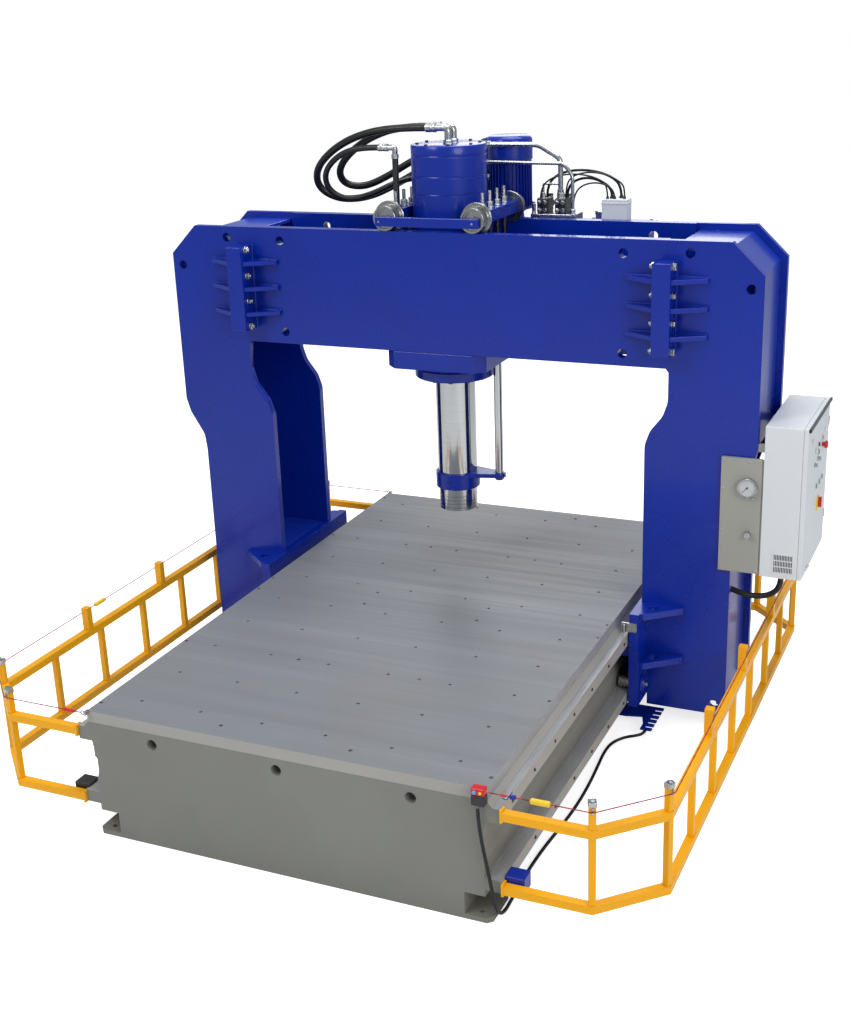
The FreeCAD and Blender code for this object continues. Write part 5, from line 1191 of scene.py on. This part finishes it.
lip, lid = tank["lip"], tank["lid"]
parts = [block((tank["left"], tank["front"], tank["low"]), (tank["right"], tank["back"], tank["top"]),
    0.006), block((tank["left"] - lip, tank["front"] - lip, tank["top"] - 0.0005),
    (tank["right"] + lip, tank["back"] + lip, lid), 0.002)]
for start in tank["railLeft"]:
    low, high = zip((start, start + tank["rail"]), tank["railY"], tank["railZ"])
    parts.append(block(low, high, 0.003))
dressed(parts, "oilTank", "blue", "portal", "blue_paint", "oil_tank")
span = tank["right"] - tank["left"] - 2 * tank["screwIn"]
made = []
for i in range(tank["screws"]):
    x = tank["left"] + tank["screwIn"] + span * i / (tank["screws"] - 1)
    made += [hexHead(0.013, 0.006, (x, y, lid), "z", 0.0015, twist=i * 23)
        for y in (tank["front"] - tank["screwOut"], tank["back"] + tank["screwOut"])]
made += [turned(tank["filler"], (*tank["fillerAt"], lid), "z", 40),
    turned(tank["drain"], tank["drainAt"], "y", 24)]
dressed(made, "tankFittings", "zinc", "portal", "zinc")
sight = [block(*tank["sight"], 0.003)] + [socketScrew(0.007, 0.004, (0.654, 1.37, z), "y", 16)
    for z in tank["sightScrews"]]
dressed(sight, "oilSight", "greyPlastic", "portal", "dark_plastic")

motor = {"at": (0.061, 1.205), "low": 2.6, "length": 0.27, "fins": 36,
    "fin": ((0.106, -0.0025, 0.02), (0.124, 0.0025, 0.254)),
    "core": [(0.108, 0), (0.118, 0.0), (0.124, 0.002), (0.124, 0.016), (0.11, 0.02), (0.11, 0.252),
    (0.122, 0.256), (0.122, 0.27)], "cowl": [(0.127, 0), (0.128, 0.001), (0.128, 0.096), (0.1262, 0.108),
    (0.121, 0.118), (0.112, 0.1255), (0.1, 0.1295), (0.098, 0.13)],
    "dome": [(0.098, 0), (0.097, 0.0035), (0.08, 0.0052), (0.04, 0.006), (0.012, 0.0062)],
    "domeStart": 0.1235, "terminal": ((-0.173, -0.055, 2.66), (-0.115, 0.055, 2.81)),
    "terminalLid": ((-0.173, -0.051, 2.664), (-0.1722, 0.051, 2.806)), "lidScrewX": -0.1705,
    "lidScrewY": (-0.045, 0.045), "lidScrewZ": (2.67, 2.8), "eye": (0.016, 0.0045),
    "eyeOut": (0.122, 0.152), "eyeStem": [(0.012, 0), (0.014, 0.002), (0.01, 0.006), (0.008, 0.014)],
    "eyeZ": 2.72}
mx, my = motor["at"]
dressed(turned(tank["bell"], (mx, my, lid), "z", 56), "pumpBell", "blue", "portal", "blue_paint",
    "pump_bell")
foot = Matrix.Translation((mx, my, motor["low"]))
cowlLow = motor["low"] + motor["length"]
parts = [turned(motor["core"], (mx, my, motor["low"]), "z", 72),
    turned(motor["cowl"], (mx, my, cowlLow), "z", 72),
    turned(motor["dome"], (mx, my, cowlLow + motor["domeStart"]), "z", 56),
    copied(block(*motor["fin"], 0.001, 1), [foot @ Matrix.Rotation(2 * math.pi * i / motor["fins"], 4, "Z")
    for i in range(motor["fins"])]), blockAt((mx, my, 0), motor["terminal"], 0.006, 3),
    blockAt((mx, my, 0), motor["terminalLid"], 0.0003, 1)]
dressed(parts, "motorBody", "blue", "portal", "blue_paint", "motor")
stemY, eyeY = (my + out for out in motor["eyeOut"])
made = [turned(motor["eyeStem"], (mx, stemY, motor["eyeZ"]), "y", 20),
    ringOf(*motor["eye"], (mx, eyeY, motor["eyeZ"]), (0, math.pi / 2, 0), 32, 10)]
made += [socketScrew(0.0045, 0.003, (mx + motor["lidScrewX"], my + dy, z), "-x", 12)
    for dy in motor["lidScrewY"] for z in motor["lidScrewZ"]]
dressed(made, "motorFittings", "zinc", "portal", "zinc")

valves = {"starts": (0.28, 0.382), "width": 0.06, "front": 1.035, "back": 1.14, "low": 2.6, "top": 2.68,
    "manifold": ((0.25, 1.014, 2.53), (0.505, 1.15, 2.6)), "plugs": (0.275, 0.345, 0.415, 0.48),
    "plugZ": 2.565, "portZ": (2.618, 2.66), "coilZ": 2.64, "fittingY": 1.102, "fittingX": 0.015,
    "fittingHead": 0.014, "portOut": 0.014, "plugY": 1.014,
    "socket": ((0.014, 1.15, 2.655), (0.046, 1.18, 2.692)), "screwX": (0.009, 0.051),
    "screwY": (1.045, 1.13), "sensorAt": (0.264, 1.032), "leadAt": (0.47, 1.085), "sensorHead": 0.012,
    "leadHead": 0.008, "coil": [(0.02, 0), (0.022, 0.002), (0.022, 0.046), (0.02, 0.048), (0.011, 0.049),
    (0.011, 0.058), (0.009, 0.06)], "port": [(0.0115, 0), (0.012, 0.001), (0.012, 0.009), (0.0095, 0.01),
    (0.0095, 0.017), (0.0075, 0.019)], "neck": [(0.01, 0), (0.01, 0.008), (0.0075, 0.01)],
    "link": [(0.295, 2.7), (0.295, 2.73), (0.295, 2.75), (0.315, 2.75), (0.346, 2.75), (0.377, 2.75),
    (0.397, 2.75), (0.397, 2.73), (0.397, 2.7)], "linkRadius": 0.0062,
    "sensor": [(0.01, 0), (0.011, 0.002), (0.011, 0.04), (0.008, 0.042), (0.008, 0.052), (0.005, 0.054)],
    "lead": [(0.0075, 0), (0.008, 0.001), (0.008, 0.02), (0.0055, 0.022)]}
front, top, fittingY = valves["front"], valves["top"], valves["fittingY"]
bright, bodies, black = [block(*valves["manifold"], 0.003)], [], []
bright += [hexHead(0.02, 0.007, (x, valves["plugY"], valves["plugZ"]), "-y", 0.0015, twist=10)
    for x in valves["plugs"]]
for start in valves["starts"]:
    centre = start + valves["width"] / 2
    bodies.append(block((start, front, valves["low"]), (start + valves["width"], valves["back"], top),
        0.004))
    black.append(turned(valves["coil"], (centre, valves["back"], valves["coilZ"]), "y", 36))
    black.append(blockAt((start, 0, 0), valves["socket"], 0.003))
    bright += [socketScrew(0.0048, 0.005, (start + dx, y, top), "z", 14) for dx in valves["screwX"]
        for y in valves["screwY"]]
    for z in valves["portZ"]:
        bright += [turned(valves["port"], (centre - valves["portOut"], front, z), "-y", 24),
            hexHead(0.019, 0.008, (centre + valves["portOut"], front, z), "-y", 0.001, twist=15)]
    # the fitting on top that the bent pipe goes into
    x, head = start + valves["fittingX"], valves["fittingHead"]
    bright += [hexHead(0.022, head, (x, fittingY, top), "z", 0.0015),
        turned(valves["neck"], (x, fittingY, top + head), "z", 20)]
bright.append(pipeRun([(x, fittingY, z) for x, z in valves["link"]], valves["linkRadius"]))
for part, sides in (("sensor", 26), ("lead", 20)):
    place, head = valves[part + "At"], valves[part + "Head"]
    bright.append(hexHead(0.02, head, (*place, valves["low"]), "z", 0.001))
    bright.append(turned(valves[part], (*place, valves["low"] + head), "z", sides))
dressed([inFinish("zinc", *bright), inFinish("darkSteel", *bodies), inFinish("dark", *black)], "valveBlock",
    None, "portal", "zinc", "valve_block")

junction = {"low": (0.64, 1.052, 2.53), "high": (0.78, 1.144, 2.68),
    "lid": ((0.637, 1.049, 2.655), (0.783, 1.147, 2.6625)), "screws": (0.652, 0.768),
    "screwAt": (1.052, 2.544), "glands": [(0.685, 1.098), (0.73, 1.12)],
    "gland": (0.022, 0.008, [(0.0095, 0), (0.0095, 0.006), (0.0075, 0.01)], 20),
    "smallGlands": [(0.665, 1.08), (0.707, 1.075), (0.758, 1.086)],
    "smallGland": (0.015, 0.006, [(0.0066, 0), (0.0066, 0.005), (0.005, 0.008)], 18)}
top = junction["high"][2]
glands = []
for kind in ("gland", "smallGland"):
    across, height, outline, sides = junction[kind]
    for x, y in junction[kind + "s"]:
        glands += [hexHead(across, height, (x, y, top), "z", 0.001),
            turned(outline, (x, y, top + height), "z", sides)]
case = [block(junction["low"], junction["high"], 0.005, 3), block(*junction["lid"])]
screws = [socketScrew(0.004, 0.0025, (x, *junction["screwAt"]), "-y", 12) for x in junction["screws"]]
dressed([inFinish("cabinet", *case), inFinish("dark", *glands), inFinish("zinc", *screws)], "junctionBox",
    None, "portal", "cabinet_paint", "junction_box")
print("power pack done")

# ---- ram
ram = {"at": (-0.08, 0.68), "low": 0.993, "top": 2.3, "nose": [(0.096, 0), (0.105, 0.0), (0.107, 0.002)],
    "grooves": 4, "firstGroove": 0.02, "groovePitch": 0.022,
    "groove": [(0.107, -0.004), (0.1045, -0.0025), (0.1045, 0.0025), (0.107, 0.004)],
    "shoulder": [(0.107, 0.124), (0.11, 0.127)], "end": [(0.11, -0.003), (0.107, 0)], "collarLow": 1.12,
    "clamp": (0.124, 1.165), "boreStart": 1.08, "armSpread": 2.4, "armRoot": (0.06, 0.1),
    "collar": [(0.1215, 0), (0.124, 0.0025), (0.124, 0.0875), (0.1215, 0.09)], "bore": 0.11005,
    "arm": (1.19, 1.214), "armHalf": 0.036, "armEnd": [(0.034, 0), (0.036, 0.002), (0.036, 0.022),
    (0.034, 0.024)], "guide": (0.172, 0.68), "guideRod": [(0.0215, 0), (0.023, 0.0015), (0.023, 0.924),
    (0.0215, 0.926)]}
rx, ry = ram["at"]
gx, gy = ram["guide"]
armLow, armTop = ram["arm"]
length = ram["top"] - ram["low"]
outline = ram["nose"] + [(radius, ram["firstGroove"] + ram["groovePitch"] * i + dz)
    for i in range(ram["grooves"]) for radius, dz in ram["groove"]]
outline += ram["shoulder"] + [(radius, length + dz) for radius, dz in ram["end"]]
dressed(turned(outline, (rx, ry, ram["low"]), "z", 96), "ramRod", "chrome", "ram", "chrome", "ram_rod")
root, spreadEnd = ram["armRoot"]
arm = block((rx + root, gy - ram["armHalf"], armLow), (gx, gy + ram["armHalf"], armTop))
for vertex in arm.data.vertices:
    if vertex.co.x < rx + spreadEnd:
        vertex.co.y = gy + (vertex.co.y - gy) * ram["armSpread"]
parts = [turned(ram["collar"], (rx, ry, ram["collarLow"]), "z", 80), arm]
parts = [bored(part, [drill(ram["bore"], 0.2, (rx, ry, ram["boreStart"]), "z", 96)]) for part in parts]
parts.append(turned(ram["armEnd"], (gx, gy, armLow), "z", 48))
dressed(parts, "ramCollar", "blue", "ram", "blue_paint", "ram_collar")
reach, z = ram["clamp"]
clamps = [socketScrew(0.006, 0.005, (rx, ry + way * reach, z), aim, 16)
    for way, aim in ((-1, "-y"), (1, "y"))]
dressed(clamps + [hexHead(0.042, 0.014, (gx, gy, armLow), "-z", 0.003)], "collarScrews", "darkSteel", "ram",
    "zinc")
dressed(turned(ram["guideRod"], (gx, gy, armTop), "z", 48), "guideRod", "chrome", "ram", "chrome",
    "guide_rod")
print("ram done")


# ---- room
def byRay(tree, others, camera, target):
    # the camera sees one shader, and all other rays the other
    path = node(tree, "ShaderNodeLightPath", {})
    switch = node(tree, "ShaderNodeMixShader", {0: path.outputs["Is Camera Ray"], 1: others, 2: camera})
    tree.links.new(switch.outputs[0], tree.nodes[target].inputs["Surface"])


room = {"half": 30.0, "floorZ": -0.0005, "floorTone": (0.86, 0.86, 0.86, 1), "floorRough": 0.9,
    "glow": 0.74, "sky": (0.86, 0.92, 1.0, 1), "skyPower": 0.42, "wall": (1, 1, 1, 1)}
floor = primitive("plane", size=room["half"] * 2, location=(0, 0, room["floorZ"]))
floorFinish = bpy.data.materials.new("paleFloor")
floorFinish.use_nodes = True
tree = floorFinish.node_tree
shader = tree.nodes["Principled BSDF"]
shader.inputs["Base Color"].default_value = room["floorTone"]
shader.inputs["Roughness"].default_value = room["floorRough"]
glow = node(tree, "ShaderNodeEmission", {"Strength": room["glow"]})
both = node(tree, "ShaderNodeAddShader", {0: shader.outputs[0], 1: glow.outputs[0]})
byRay(tree, shader.outputs[0], both.outputs[0], "Material Output")
floor.data.materials.append(floorFinish)
floor.name = "floor"

world = bpy.data.worlds.new("studio")
bpy.context.scene.world = world
world.use_nodes = True
soft = world.node_tree.nodes["Background"]
soft.inputs["Color"].default_value = room["sky"]
soft.inputs["Strength"].default_value = room["skyPower"]
plain = node(world.node_tree, "ShaderNodeBackground", {"Color": room["wall"], "Strength": 1.0})
byRay(world.node_tree, soft.outputs[0], plain.outputs[0], "World Output")

lamps = {"key": ((-4.5, -7.0, 8.5), (0, 0, 1.0), 4.0, 350),
    "fill": ((7.0, -5.0, 5.0), (0, 0.3, 1.0), 4.0, 235), "top": ((0.5, 1.5, 8.0), (0, 0.3, 0.6), 5.0, 330),
    "rear": ((-2.0, 8.0, 5.5), (0, 0.5, 1.2), 4.0, 120)}
for name, (place, target, width, power) in lamps.items():
    lamp = added(name + "Lamp", bpy.data.lights.new(name + "Lamp", "AREA"))
    lamp.data.size = width
    lamp.data.energy = power
    lamp.location = place
    lamp.rotation_euler = (Vector(target) - Vector(place)).to_track_quat("-Z", "Y").to_euler()
bpy.context.scene.view_settings.view_transform = "Standard"
print("room lit")
